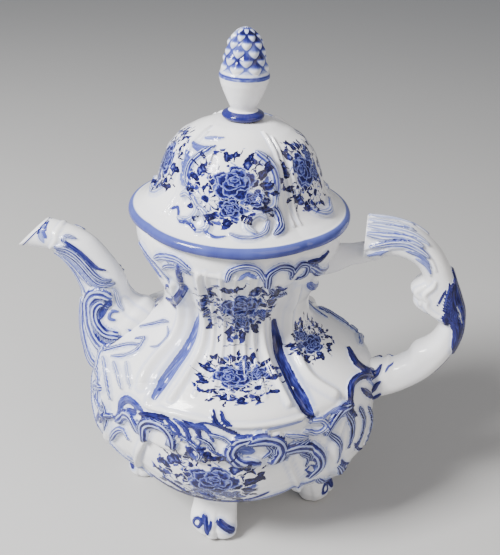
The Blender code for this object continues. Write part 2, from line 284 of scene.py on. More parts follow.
HALVES = ((0, 1), (180, 1))  # the back repeats the front
neck_folds = Marks(on_bowl, HALVES)
for path, half_width, height in (
    (((-64, 222), (-62, 192), (-60, 170), (-58, 150), (-55, 133)), 3.4, 2.8),
    (((-101, 222), (-103, 190), (-104, 165), (-106, 148), (-109, 133)), 3.4, 2.8),
    (((-38, 200), (-34, 176), (-35, 155), (-38, 142), (-32, 131)), 5, 3),
    (((-128, 200), (-131, 165), (-131, 148), (-128, 132)), 5, 3),
    (((-97, 224), (-97, 190), (-97, 160), (-99, 138)), 1.7, 1.3),
    (((-89.5, 224), (-89.5, 190), (-89.5, 160), (-90.5, 138)), 1.7, 1.3),
    (((-82, 224), (-82, 190), (-82, 160), (-82, 138)), 1.7, 1.3),
    (((-74.5, 224), (-74.5, 190), (-74, 160), (-73, 138)), 1.7, 1.3),
    (((-68, 224), (-68, 190), (-67, 160), (-65, 138)), 1.7, 1.3),
    (((-47, 204), (-46, 175), (-48, 150), (-47, 124)), 6.5, -2.6),
    (((-116, 204), (-117, 175), (-118, 150), (-118, 126)), 6, -2.4),
    (((-57, 95), (-53, 80), (-49, 66), (-44, 52), (-37, 37)), 3.4, 2.6),
    (((-121, 95), (-125, 80), (-129, 66), (-134, 52), (-141, 37)), 3.4, 2.6),
    (((-30, 118), (-34, 96), (-33, 78), (-27, 60), (-20, 44)), 6, 2.4),
    (((-150, 118), (-147, 96), (-147, 78), (-152, 60), (-160, 44)), 6, 2.4),
    (((-120, 123), (-108, 126), (-96, 127), (-80, 125), (-62, 124), (-44, 123)), 2.6, 1.8),
    (((-125, 226), (-105, 224), (-90, 222.5), (-75, 222.5), (-62, 224)), 1.9, 1.3),
):
    neck_folds.draw(path, half_width, height, ends=(0.15, 0.15))
neck_folds.settle()

# Strokes: path, half width, height, ink, lines and, if they aren't the usual ones, ends.
scrolls = Marks(on_bowl, HALVES)
for stroke in (
    # the band between the neck and the belly, from the spout side to the handle side
    (((-150, 112), (-156, 106), (-153, 96), (-147, 92), (-142, 96)), 4.5, 2.6, 0.55, 1, (0.3, 0.5)),
    (((-152, 78), (-149, 86), (-145, 92), (-139, 97)), 2.6, 1.6, 0.75, 0, (0.5, 0.5)),
    (((-158, 72), (-154, 82), (-151, 90)), 2.4, 1.4, 0.6, 0, (0.5, 0.5)),
    (((-124, 101), (-129, 107), (-134, 104), (-138, 96)), 4.6, 2.6, 0.7, 1, (0.3, 0.3)),
    (((-138, 104), (-136, 113), (-131, 118), (-123, 118.5)), 3.4, 1.4, 0.62, 0, (0.5, 0.3)),
    (((-131, 110), (-126, 113)), 2.5, 0.5, 0.75, 0, (0.5, 0.5)),
    (((-123, 114.5), (-118, 117.5), (-113, 120), (-108, 122.5)), 2.6, 1.4, 1, 0),
    (
        ((-120, 99), (-120, 108), (-116, 114), (-110, 115), (-106, 110), (-105, 103)),
        4.8, 2.8, 0.8, 1, (0.3, 0.3),
    ),
    (((-109, 121), (-104, 117), (-101, 109)), 2.3, 1.8, 0.8, 0, (0.5, 0.6)),
    (((-105, 123), (-100, 119), (-97, 108)), 2.3, 1.8, 0.75, 0, (0.5, 0.6)),
    (((-101, 124), (-95, 120), (-93, 110)), 2.2, 1.8, 0.85, 0, (0.5, 0.6)),
    (((-97, 123), (-91, 121), (-88, 113)), 2, 1.6, 0.7, 0, (0.5, 0.6)),
    (((-99, 105), (-96, 98), (-91, 94)), 2, 1.4, 0.7, 0, (0.4, 0.6)),
    (((-94, 107), (-91, 101), (-87, 98)), 1.8, 1.4, 0.8, 0, (0.4, 0.6)),
    (((-90, 108), (-87, 104), (-84, 102)), 1.6, 1.2, 0.7, 0, (0.4, 0.6)),
    (((-89, 132), (-87.5, 127), (-83, 122.5), (-79, 121)), 1.9, 1, 1, 0, (0.3, 0.6)),
    (((-85.5, 132), (-84, 128), (-80.5, 125)), 1.6, 1, 0.9, 0, (0.3, 0.6)),
    (((-98, 121), (-92, 125.5), (-86, 124), (-80, 119.5), (-74, 118)), 1.2, 0.6, 0.8, 0, (0.5, 0.5)),
    (((-70, 95), (-77, 97), (-81, 105), (-79, 113), (-74, 116)), 4.6, 2.8, 0.7, 1, (0.3, 0.3)),
    (((-77, 107), (-72, 105)), 3.6, 0.6, 0.5, 0, (0.6, 0.6)),
    (((-101, 112), (-96, 108), (-93, 101), (-95, 95)), 2.4, 1.8, 0.75, 1, (0.4, 0.6)),
    (((-95, 114), (-90, 111), (-87, 104)), 2, 1.6, 0.8, 1, (0.4, 0.6)),
    (((-110, 113), (-107, 107), (-108, 101)), 2, 1.4, 0.85, 1),
    (((-90, 118), (-84, 116), (-80, 110)), 1.8, 1.4, 0.7, 1),
    (((-66, 109), (-64, 104), (-67, 100)), 2, 1.4, 0.85, 1),
    (((-50, 94), (-46, 88), (-47, 82)), 2, 1.4, 0.85, 1),
    (((-44, 80), (-41.5, 77), (-44, 74), (-46.5, 77), (-44, 80)), 0.9, 1, 0.6, 0, (0.2, 0.2)),
    (((-66, 121), (-58, 121.5), (-50, 120.5)), 1.5, 1, 0.3, 0, (0.5, 0.5)),
    (((-58, 114), (-52, 110), (-47, 106)), 2.2, 1.6, 0.4, 1, (0.5, 0.5)),
    (((-73, 114), (-68, 115), (-62, 111), (-60, 103), (-63, 95)), 5.6, 3.1, 0.75, 1, (0.3, 0.3)),
    (((-59, 103), (-52, 102), (-46, 97), (-42, 89), (-41, 80), (-44, 72)), 5.2, 3.1, 0.75, 1, (0.3, 0.3)),
    (((-48, 112), (-43, 108.5), (-39, 112), (-41, 117.5), (-45.5, 118)), 2.6, 2.2, 0.45, 1, (0.3, 0.3)),
    (((-39, 106), (-36, 114), (-31, 121), (-26, 120)), 3.6, 2.6, 0.85, 1, (0.4, 0.4)),
    (((-4, 140), (-9, 135), (-8, 129), (-3, 123), (3, 115)), 3.8, 2.2, 0.98, 0, (0.4, 0.4)),
    (
        ((2, 113), (-6, 124), (-13.4, 130), (-20.6, 130.7), (-25.4, 126.5), (-26.4, 117), (-24, 110)),
        3, 2.2, 0.98, 0, (0.3, 0.4),
    ),
    (((-18, 125), (-14, 118), (-9, 109)), 2.8, 1.4, 0.92, 0, (0.5, 0.5)),
    (((-12, 126), (-8, 119), (-5, 112)), 1.4, 1.2, 0.3, 0, (0.4, 0.4)),
    (((-31, 72), (-25, 60), (-16, 51), (-4, 46)), 3.4, 2.2, 0.7, 1, (0.3, 0.4)),
    (((-38, 62), (-32, 52), (-22, 43), (-10, 38)), 3.2, 2, 0.65, 1, (0.3, 0.4)),
    (((-176, 50), (-166, 47), (-156, 45), (-148, 50)), 3, 1.8, 0.6, 0, (0.4, 0.4)),
    # pale leaves beside the root of the spout
    (((-162, 148), (-157, 153), (-151, 158), (-144, 161)), 1.8, 1.4, 0.6, 1),
    (((-160, 131), (-157, 136), (-153, 141), (-148, 144)), 2, 1.6, 0.6, 1, (0.4, 0.4)),
    (((-153, 133), (-147, 138), (-145, 143), (-149, 147), (-153, 145)), 1.9, 1.6, 0.5, 1, (0.4, 0.4)),
    (((-142, 158), (-137, 155), (-136, 149), (-140, 147)), 1.3, 1, 0.4, 1),
    (((-156, 129), (-151, 127), (-147, 121), (-143, 109)), 2.4, 2, 0.36, 1),
    (((-149, 132), (-142, 129), (-138, 122)), 2, 1.6, 0.3, 1),
    (((-143, 136), (-137, 132), (-133, 126)), 1.8, 1.4, 0.22, 1),
    (((-157, 122), (-154, 111), (-153, 97), (-149, 84)), 2.4, 2, 0.5, 1),
    (((-144, 72), (-139.5, 84), (-136, 89), (-131, 86)), 3, 2, 0.5, 1, (0.4, 0.4)),
    (((-148, 102), (-146, 92), (-147, 78)), 2.6, 1.2, 0.85, 1, (0.4, 0.6)),
    (((-146, 66), (-142, 58), (-137, 50)), 2.6, 1.6, 0.3, 1),
    (((-172, 134), (-163, 131), (-158, 124), (-158, 114)), 2.6, 2, 0.4, 1),
    (((-180, 63), (-174, 60), (-168, 56)), 4.2, 1.6, 0.85, 1),
    (((-172, 84), (-166, 78), (-160, 68), (-158, 60)), 3.4, 1.8, 0.5, 1),
    (((-178, 96), (-171, 92), (-166, 86)), 3, 1.8, 0.5, 1),
    (((-137, 62), (-132, 56), (-124, 52)), 2.2, 1.2, 0.3, 0),
    # dark acanthus under the handle
    (((-37, 104), (-33.5, 97), (-31.5, 88), (-33, 78)), 2.4, 1.8, 0.8, 1, (0.3, 0.6)),
    (((-29.6, 117), (-26, 107), (-25, 96), (-27, 84)), 2.8, 1.8, 0.95, 1, (0.3, 0.7)),
    (((-20.6, 112), (-17, 99), (-18, 88), (-22, 78)), 2.4, 1.6, 0.95, 1, (0.3, 0.7)),
    (((-13, 104), (-8, 90), (-7, 79), (-10, 68)), 2.2, 1.6, 0.9, 1, (0.3, 0.7)),
    (((-23, 84), (-18, 73), (-11, 65)), 1.4, 1, 0.9, 0, (0.3, 0.7)),
    (((-30, 76), (-26, 68), (-20, 62)), 1.4, 1, 0.8, 0, (0.3, 0.7)),
    (((-40, 119), (-34, 122), (-28, 121)), 1.6, 1, 0.45, 0, (0.5, 0.5)),
    # along the bottom edge
    (((-122, 56), (-110, 51.5), (-97, 49.5), (-84, 49), (-72, 50)), 3.8, 0.6, 0.95, 0, (0.2, 0.4)),
    (((-112, 66), (-105, 60), (-99, 53)), 2.6, 0.6, 0.9, 0, (0.4, 0.6)),
    (((-94, 60), (-89, 56), (-86, 50)), 2.4, 0.6, 0.8, 0, (0.5, 0.6)),
    (((-80, 51), (-70, 54), (-63, 60)), 2.4, 0.6, 0.72, 0, (0.6, 0.3)),
    (((-70, 50), (-58, 51.5), (-48, 54), (-40, 60)), 3.2, 0.6, 0.6, 1, (0.4, 0.3)),
    # leaf strokes in the neck's valleys
    (
        ((-112.6, 184), (-115.8, 166), (-117.6, 153), (-117.8, 143), (-118.8, 130)),
        4.4, 0, 0.5, 0, (0.8, 0.35),
    ),
    (((-117.9, 139), (-118.6, 134), (-119.1, 130.5)), 2, 0, 0.95, 0, (0.5, 0.5)),
    (
        ((-44.6, 172), (-44, 160), (-47, 151), (-48.2, 141), (-47.2, 131), (-45.2, 121)),
        5.6, 0, 0.9, 0, (0.95, 0.4),
    ),
    # curls under the flared mouth
    (
        ((-112, 224), (-116, 209), (-122, 195), (-131, 185), (-141, 179), (-152, 176)),
        3.1, 1.4, 0.82, 0, (0.25, 0.5),
    ),
    (((-143, 175.5), (-137, 176), (-133, 178)), 2.2, 0.8, 1, 0),
    (((-133, 220), (-124, 226), (-114, 228.5), (-106, 225)), 2.8, 1.2, 0.5, 1, (0.4, 0.4)),
    (((-150, 222), (-142, 218), (-135, 212), (-130, 203)), 3.2, 1.4, 0.5, 1, (0.4, 0.4)),
    (((-158, 212), (-148, 208), (-141, 200)), 2.8, 1.4, 0.5, 0),
    (((-86, 221), (-84, 228), (-77.5, 231), (-71, 229), (-67, 221)), 2.2, 1.6, 0.6, 1, (0.3, 0.4)),
    (((-80, 222), (-76, 225.5), (-71.5, 223)), 1.4, 0.8, 0.45, 0),
    (((-65, 216), (-65, 224.5), (-58.5, 228.5), (-52, 225.5), (-51, 219)), 2.5, 1.8, 0.8, 1, (0.3, 0.4)),
    (((-51, 221), (-46.5, 226.5), (-41, 224.5), (-41, 217.5), (-46, 216)), 2.4, 1.8, 0.8, 1, (0.3, 0.4)),
    (((-63, 213), (-58, 206), (-52, 201), (-45, 198.5)), 2, 1.4, 0.7, 1),
    (((-57, 212), (-52, 207), (-47, 206)), 1.4, 1, 0.85, 0),
    (((-40, 227), (-32, 225), (-25, 228)), 2.4, 1.2, 0.95, 0),
    (((-36, 218), (-26, 210), (-14, 204)), 1.5, 0.8, 0.95, 0, (0.5, 0.5)),
    (((-112, 219), (-114, 210), (-118, 202)), 1.5, 0.6, 0.9, 0, (0.5, 0.5)),
    (((-128, 214), (-121, 220), (-113, 223), (-106, 221)), 2, 1.2, 0.6, 1, (0.4, 0.4)),
    (((-141, 190), (-136, 195), (-130, 192), (-131, 186), (-137, 185)), 1.3, 1, 0.7, 0, (0.4, 0.4)),
    (((-38, 222), (-28, 214), (-16, 208), (-4, 206)), 3.4, 1.6, 0.6, 1, (0.3, 0.4)),
    (((-30, 204), (-20, 196), (-8, 190), (4, 188)), 3, 1.4, 0.5, 0, (0.3, 0.4)),
):  # fmt: skip
    scrolls.draw(*stroke)
scrolls.settle()

# Flower prints: degrees round the pot, height, half width, half height, turned by how much.
bowl_prints = [
    (turn + degrees, z, half_width, half_height, lean)
    for turn in (0, 180)
    for degrees, z, half_width, half_height, lean in (
        (-79.5, 192, 27, 28, 8), (-78.5, 146, 30, 27, 100), (-91, 73, 42, 31, -14),
        (-19, 152, 22, 21, 200),
    )
]  # fmt: skip


def bowl_place(angle, ring):
    z, *size = bowl_rows[ring]
    return polar(angle, bowl_radius(angle, z, *size), z)


def paint_layers(bm):
    names = ("stroke", "paint", "print")
    return [bm.verts.layers.float_vector.new(name) for name in names]


UNPAINTED = Vector((0, 0, -2))  # across a stroke, along it, and how far inside it
POOLING_AND_SHADE_INK, POOLING_AND_SHADE_WIDTH = 0.08, 0.4  # glaze pooled beside a plain rib, its grey-blue tint also painted shade of the groove
PRINT_REACH = 1.7  # the square of how far a print can run past its sizes


def printed(bm, ring_of, marks, folds, first, last, prints=(), rows=(), path=()):
    """Raises the relief of a turned piece and notes on each point how it is coloured."""
    stroke, paint, flower = layers = paint_layers(bm)
    lifts = []
    middles = [min(range(first, last + 1), key=lambda n: abs(rows[n][0] - p[1])) for p in prints]
    for vert in bm.verts:
        vert[stroke] = UNPAINTED
        ring = round(vert[ring_of])
        if not first <= ring <= last:
            continue
        angle = math.atan2(vert.co.y, vert.co.x)
        inside, across, along, (height, ink, lines) = marks.at(vert.co, vert.normal)
        rounded = math.sin(min(1.0, max(0.0, inside) * 1.5) * math.pi / 2)
        lift = BOLDNESS * height * rounded
        fold_inside, _, _, (fold_height, _, _) = folds.at(vert.co, vert.normal)
        fold_height *= FOLD_BOLDNESS * (1 - 0.6 * eased(0, 0.4, inside) * (height > 0))
        lift += fold_height * eased(0, 1, fold_inside)
        # painted shade in the groove beside a plain rib, partly the glaze that pools there
        pooling_and_shade = POOLING_AND_SHADE_INK * max(0.0, 1 - abs(fold_inside + 0.05) / POOLING_AND_SHADE_WIDTH)
        vert[stroke] = Vector((across, along, inside))
        vert[paint] = Vector((ink, lines, pooling_and_shade))
        for (degrees, _, half_width, half_height, lean), middle in zip(prints, middles):
            u = around_from(angle, math.radians(degrees)) * rows[middle][1] / half_width
            v = (path[ring] - path[middle]) / half_height
            if u * u + v * v < PRINT_REACH:
                spin = math.radians(lean)
                vert[flower] = Vector((
                    u * math.cos(spin) + v * math.sin(spin),
                    v * math.cos(spin) - u * math.sin(spin), 1,
                ))  # fmt: skip
        lifts.append((vert, lift))
    for vert, lift in lifts:
        vert.co += vert.normal * lift
    return layers


SHY = 0.05  # mm that every piece keeps inside the box of the whole pot


def settle(name, bm, material, body, node):
    """Makes the piece from its mesh, in metres, rides it on its body and hides the CAD node."""
    for vert in bm.verts:
        vert.co = [
            max(low / MM + SHY, min(high / MM - SHY, at))
            for low, at, high in zip(cad_box[0], vert.co, cad_box[1])
        ]
    bmesh.ops.scale(bm, vec=(MM, MM, MM), verts=bm.verts)
    bmesh.ops.recalc_face_normals(bm, faces=bm.faces)
    mesh = bpy.data.meshes.new(name)
    bm.to_mesh(mesh)
    bm.free()
    mesh.shade_smooth()
    mesh.materials.append(material)
    piece = bpy.data.objects.new(name, mesh)
    bpy.context.scene.collection.objects.link(piece)
    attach(piece, body)
    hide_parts(node)


class Wire:
    """A socket of a material. Sums on it add Math nodes to the same material."""

    def __init__(self, tree, socket=None):
        self.tree, self.socket = tree, socket

    def node(self, kind, settings=None, sockets=None, output=0):
        """Adds a node: its type, its settings, then the values or links of its sockets."""
        made = self.tree.nodes.new("ShaderNode" + kind)
        for name, value in (settings or {}).items():
            if name == "stops":
                ramp = made.color_ramp
                while len(ramp.elements) < len(value):
                    ramp.elements.new(0.5)
                for element, (position, color) in zip(ramp.elements, value):
                    element.position, element.color = position, (*color, 1)
            else:
                setattr(made, name, value)
        for key, value in (sockets or {}).items():
            if isinstance(value, Wire):
                self.tree.links.new(value.socket, made.inputs[key])
            else:
                made.inputs[key].default_value = value
        return Wire(self.tree, made.outputs[output])

    def sum(self, operation, *values, clamp=False):
        settings = {"operation": operation, "use_clamp": clamp}
        return self.node("Math", settings, dict(enumerate(values)))

    def __add__(self, other):
        return self.sum("ADD", self, other)

    def __sub__(self, other):
        return self.sum("SUBTRACT", self, other)

    def __rsub__(self, other):
        return self.sum("SUBTRACT", other, self)

    def __mul__(self, other):
        return self.sum("MULTIPLY", self, other)

    __radd__, __rmul__ = __add__, __mul__

    def __abs__(self):
        return self.sum("ABSOLUTE", self)

    def between(self, low, high):
        """0 below low, 1 above high, and smooth between them."""
        sockets = {"Value": self, "From Min": low, "From Max": high}
        return self.node("MapRange", {"interpolation_type": "SMOOTHSTEP"}, sockets)

    def split(self):
        made = self.node("SeparateXYZ", sockets={0: self})
        return [Wire(self.tree, output) for output in made.socket.node.outputs]


# The print, in a square two units across: leaves as (x, y, degrees, half length, half width),
# roses as (x, y, size, turn), daisies as (x, y, size, petals) and buds as (x, y, size).
PRINT_LEAVES = (
    (-0.16, 0.84, 112, 0.2, 0.1), (0.08, 0.88, 80, 0.17, 0.08), (0.80, 0.34, 30, 0.2, 0.11),
    (0.86, 0.04, -8, 0.2, 0.1), (0.92, 0.56, 50, 0.13, 0.07), (0.76, -0.56, -30, 0.22, 0.1),
    (0.4, -0.84, -60, 0.2, 0.11), (-0.72, 0.4, 142, 0.22, 0.1), (-0.9, 0.08, 172, 0.17, 0.09),
    (-0.5, 0.68, 120, 0.2, 0.08), (-0.94, -0.24, 190, 0.15, 0.08), (-0.84, -0.64, 222, 0.16, 0.08),
    (-0.34, -0.86, 250, 0.2, 0.1), (0.02, -0.95, 275, 0.14, 0.09), (0.5, 0.82, 62, 0.17, 0.09),
    (-0.86, 0.72, 128, 0.14, 0.05), (1.02, -0.22, -15, 0.12, 0.05), (0.98, 0.82, 45, 0.16, 0.03),
    (-1.0, 0.44, 158, 0.16, 0.03), (0.96, -0.8, -42, 0.17, 0.03), (-0.62, -0.98, 238, 0.17, 0.03),
    (0.24, 1.02, 74, 0.13, 0.03), (0.66, 0.6, 46, 0.24, 0.03), (-0.66, 0.56, 132, 0.24, 0.03),
)  # fmt: skip
PRINT_ROSES = ((0.1, 0.14, 0.5, 0.4), (0.06, -0.56, 0.3, 2.2), (0.56, -0.26, 0.22, 4.0))
PRINT_DAISIES = ((-0.5, -0.36, 0.36, 9), (-0.42, 0.42, 0.2, 7))
PRINT_BUDS = ((0.42, 0.62, 0.13), (-0.8, 0.3, 0.11), (0.8, -0.36, 0.1))
# A rose is painted from its outer petals in: their reach, their number, how far they are turned.
ROSE_PETALS = ((1.0, 5, 0.0), (0.76, 4, 0.9), (0.54, 3, 0.3), (0.34, 3, 1.4), (0.17, 2, 0.2))


def flower_print(start):
    """How thick the ink of the flower print lies, 0 to 1."""
    place = start.node("Attribute", {"attribute_name": "print"}, output=1)
    x, y, flag = place.split()
    flat = start.node("CombineXYZ", sockets={0: x, 1: y})
    wobble = start.node("TexNoise", sockets={"Vector": flat, "Scale": 7.0, "Detail": 3.0}, output=1)
    wobble = start.node("VectorMath", {"operation": "SUBTRACT"}, {0: wobble, 1: (0.5, 0.5, 0.5)})
    wobble = start.node("VectorMath", {"operation": "MULTIPLY"}, {0: wobble, 1: (0.2, 0.2, 0)})
    flat = start.node("VectorMath", {"operation": "ADD"}, {0: flat, 1: wobble})

    def local(x, y, degrees, half_length, half_width):
        """The print's plane as one leaf or flower sees it, one unit to its edge."""
        sockets = {
            "Vector": flat, "Location": (x, y, 0), "Rotation": (0, 0, math.radians(degrees)),
            "Scale": (half_length, half_width, 1),
        }  # fmt: skip
        return start.node("Mapping", {"vector_type": "TEXTURE"}, sockets)

    def length(vector):
        return start.node("VectorMath", {"operation": "LENGTH"}, {0: vector}, 1)

    def laid_over(under, over, mask):
        return under + mask * (over - under)

    # dense small leaves behind the flowers, thinning out towards the edge of the print
    cells = {"Vector": flat, "Scale": 6.2}
    gaps = start.node("TexVoronoi", {"feature": "DISTANCE_TO_EDGE"}, cells)
    chance, shade, _ = start.node("TexVoronoi", sockets=cells, output=1).split()
    fullness = 1 - length(flat)
    grown = (chance * 0.9 + fullness).between(0.66, 0.74)
    ink = gaps.between(0.015, 0.06) * grown * (shade * 0.6 + 0.5)
    leaves = None
    for leaf in PRINT_LEAVES:
        u, v, _ = local(*leaf).split()
        here = 1 - (u * u + abs(v))
        leaves = here if leaves is None else start.sum("MAXIMUM", leaves, here)
    ink = laid_over(ink, 0.98 - leaves.between(0.78, 0.95) * 0.4, leaves.between(0.0, 0.1))
    for x, y, size in PRINT_BUDS:
        reach = length(local(x, y, 0, size, size))
        ink = laid_over(ink, reach.between(0.1, 0.8) * 0.55 + 0.35, 1 - reach.between(0.9, 1.1))
    for x, y, size, petals in PRINT_DAISIES:
        here = local(x, y, 10, size, size)
        u, v, _ = here.split()
        reach = length(here)
        petal = abs(start.sum("COSINE", start.sum("ARCTAN2", v, u) * (petals / 2)))
        edge = petal * 0.55 + 0.42 - reach
        tone = 0.95 - edge.between(0.03, 0.14) * 0.9 + (1 - reach.between(0.22, 0.34)) * 0.85
        ink = laid_over(ink, tone, edge.between(0.0, 0.05))
    for x, y, size, turn in PRINT_ROSES:
        for reach_to, petals, phase in ROSE_PETALS:
            drop = size * 0.16 * (1 - reach_to)
            here = local(x, y + drop, math.degrees(turn), size * 1.06, size * 0.94)
            u, v, _ = here.split()
            round_it = start.sum("ARCTAN2", v, u) * (petals / 2) + (turn + phase)
            ruffle = abs(start.sum("COSINE", round_it))
            edge = (ruffle * 0.3 + 0.72) * reach_to - length(here)
            tone = edge.between(0.02, 0.17) * 0.62 + 0.26 + (1 - reach_to) * 0.12
            ink = laid_over(ink, tone, edge.between(0.0, 0.02))
    grain = start.node("TexNoise", sockets={"Vector": flat, "Scale": 17.0, "Detail": 3.0})
    inked = ink * (grain.between(0.3, 0.62) * 0.35 + 0.75)
    return inked * start.sum("GREATER_THAN", flag, 0.995)


PORCELAIN = (0.86, 0.855, 0.84)
# Cobalt under the glaze, by how thick it lies.
INK_SHADES = (
    (0.0, PORCELAIN), (0.18, (0.37, 0.43, 0.68)), (0.4, (0.085, 0.11, 0.38)),
    (0.65, (0.020, 0.023, 0.175)), (0.85, (0.009, 0.009, 0.075)), (1.0, (0.004, 0.004, 0.032)),
)  # fmt: skip


def glazed(name, prints=False):
    """Clear glaze over white porcelain, with brushed and, if wanted, printed cobalt under it, and painted
    shade beside the relief.
    """
    material = bpy.data.materials.new(name)
    material.use_nodes = True
    tree = material.node_tree
    shader = tree.nodes["Principled BSDF"]
    start = Wire(tree)
    place = start.node("TexCoord", output=3)
    cloud = start.node("TexNoise", sockets={"Vector": place, "Scale": 55.0, "Detail": 3.0})
    ink = cloud * 0.05
    height = start.node("TexNoise", sockets={"Vector": place, "Scale": 160.0, "Detail": 1.0}) * 0.25
    stroke = start.node("Attribute", {"attribute_name": "stroke"}, output=1)
    across, along, inside = stroke.split()
    depth, lines, wash_and_shade = start.node("Attribute", {"attribute_name": "paint"}, output=1).split()
    combed = start.node("CombineXYZ", sockets={0: across * 3.2, 1: along * 0.8, 2: along * 0.1})
    streaks = start.node("TexNoise", sockets={"Vector": combed, "Scale": 1.6, "Detail": 3.0})
    ragged = start.node("TexNoise", sockets={"Vector": place, "Scale": 420.0, "Detail": 2.0})
    cover = (inside + (ragged - 0.5) * 0.22).between(0.02, 0.16)
    comb = start.sum("COSINE", across * (3.8 * math.pi) + (ragged - 0.5) * 1.6)
    groove = comb.between(-0.7, 0.4)
    solid = streaks.between(0.25, 0.7) * 0.5 + 0.55
    drawn = (groove * 0.76 + 0.24) * (streaks.between(0.25, 0.65) * 0.7 + 0.5)
    brushed = solid * (1 - lines) + lines * drawn
    # painted shade just outside each stroke's edge, partly glaze pooled against the relief; the third
    # paint value carries wash, band and scale ink and painted shade
    pooling_and_shade = inside.between(-0.9, -0.1) * (1 - inside.between(-0.1, 0.1))
    ink = ink + cover * depth * brushed + wash_and_shade * (streaks * 0.5 + 0.75) + pooling_and_shade * 0.07
    height = height - groove * lines * cover * 0.9
    if prints:
        ink = start.sum("MAXIMUM", ink, flower_print(start))
    shade = start.node("ValToRGB", {"stops": INK_SHADES}, {0: ink})
    tree.links.new(shade.socket, shader.inputs["Base Color"])
    bump = start.node("Bump", sockets={"Strength": 0.8, "Distance": 0.0005, "Height": height})
    tree.links.new(bump.socket, shader.inputs["Normal"])
    rough = cloud.between(0.3, 0.7) * 0.05 + 0.1
    tree.links.new(rough.socket, shader.inputs["Roughness"])
    shader.inputs["Specular IOR Level"].default_value = 0.34
    shader.inputs["Coat Weight"].default_value = 0.1
    shader.inputs["Coat Roughness"].default_value = 0.04
    return material


bowl, ring_of = turned(len(bowl_rows), BOWL_AROUND, bowl_place)
printed(
    bowl, ring_of, scrolls, neck_folds, OUTER_FIRST, OUTER_LAST, bowl_prints, bowl_rows, bowl_path
)
settle("bowl", bowl, glazed("bowl_glaze", prints=True), "pot", "pot_body")

# ---------------------------------------------------------------------------------------
# Spout: cast on its own and luted to the bowl. It leaves as one wide mass, climbs beside the
# neck and bends out to a slanted lip, with long ridges and a coiled shell on each side.
SPOUT_AROUND = 132
# The lowest and the topmost point of each section as (out, up), and half its width.
spout_sections = (
    ((96, 92), (56, 148), 24), ((110, 101), (66, 157), 27), ((115, 118), (73, 158), 24),
    ((117, 136), (79, 162), 20), ((116, 152), (82, 168), 17), ((115, 162), (83, 174), 15.5),
    ((118, 171), (87, 182), 14), ((123, 181), (94, 192), 13), ((131, 190), (105, 204), 12.3),
    ((138, 193.5), (119, 211), 12), ((147, 194), (132, 215), 11.7), ((162, 194), (140, 216), 11),
)  # fmt: skip


def between_sections(sections, number):
    """A section part of the way between two of a list, on a smooth curve through them all."""
    flat = [(*first, *second, wide) for first, second, wide in sections]
    low = min(len(flat) - 2, max(0, int(number)))
    t = min(1.0, max(0.0, number - low))
    return curved([flat[min(len(flat) - 1, max(0, low + k))] for k in (-1, 0, 1, 2)], t)


def on_tube(sections, way, degrees, number, inset=0, boxy=1):
    """A point of a spout or handle, which leans towards +X or, where way is -1, towards -X.
    0 degrees is the first edge of a section, 180 the second. Below 1, boxy squares it."""
    x0, z0, x1, z1, wide = between_sections(sections, number)
    c, s = math.cos(math.radians(degrees)), math.sin(math.radians(degrees))
    c, s = math.copysign(abs(c) ** boxy, c), math.copysign(abs(s) ** boxy, s)
    half = Vector(((x0 - x1) / 2, 0, (z0 - z1) / 2))
    half *= max(0.0, 1 - inset / half.length)
    middle = Vector(((x0 + x1) / 2, 0, (z0 + z1) / 2))
    point = middle + half * c + Vector((0, -max(0.0, wide - inset) * s, 0))
    return Vector((way * point.x, point.y, point.z))


def bowl_reach(point):
    """How far from the axis the bowl's outside is at a point's height and on its side."""
    wall = on_bowl(math.degrees(math.atan2(point.y, point.x)), point.z)
    return math.hypot(wall.x, wall.y)


WALL_GRIP = 2.4  # mm that a stuck-on piece reaches into the wall


def in_wall(point):
    """Keeps a stuck-on piece's hidden end inside the bowl's wall."""
    if not outer_rows[0][0] < point.z < LIP_Z - 6:
        return point
    wall = bowl_reach(point) - WALL_GRIP
    if math.hypot(point.x, point.y) >= wall:
        return point
    return polar(math.atan2(point.y, point.x), wall, point.z)


CLOSED = 99  # an inset that brings a ring together in its middle
SPOUT_END, SPOUT_STEPS = len(spout_sections) - 1, 9  # the last section, and rings to each
# Each ring's section and how far it lies inside the surface: up the outside, over the lip, and
# down the bore.
spout_rings = [(0, CLOSED), (0, 12)]
spout_rings += [(n / SPOUT_STEPS, 0) for n in range(SPOUT_END * SPOUT_STEPS + 1)]
for rise, inset in ((0.03, 0.9), (0.03, 2.4), (0, 3.4), (-0.3, 4.2)):
    spout_rings.append((SPOUT_END + rise, inset))
spout_rings += [(SPOUT_END - n / 3, WALL) for n in range(2, 18)] + [(SPOUT_END - 17 / 3, CLOSED)]

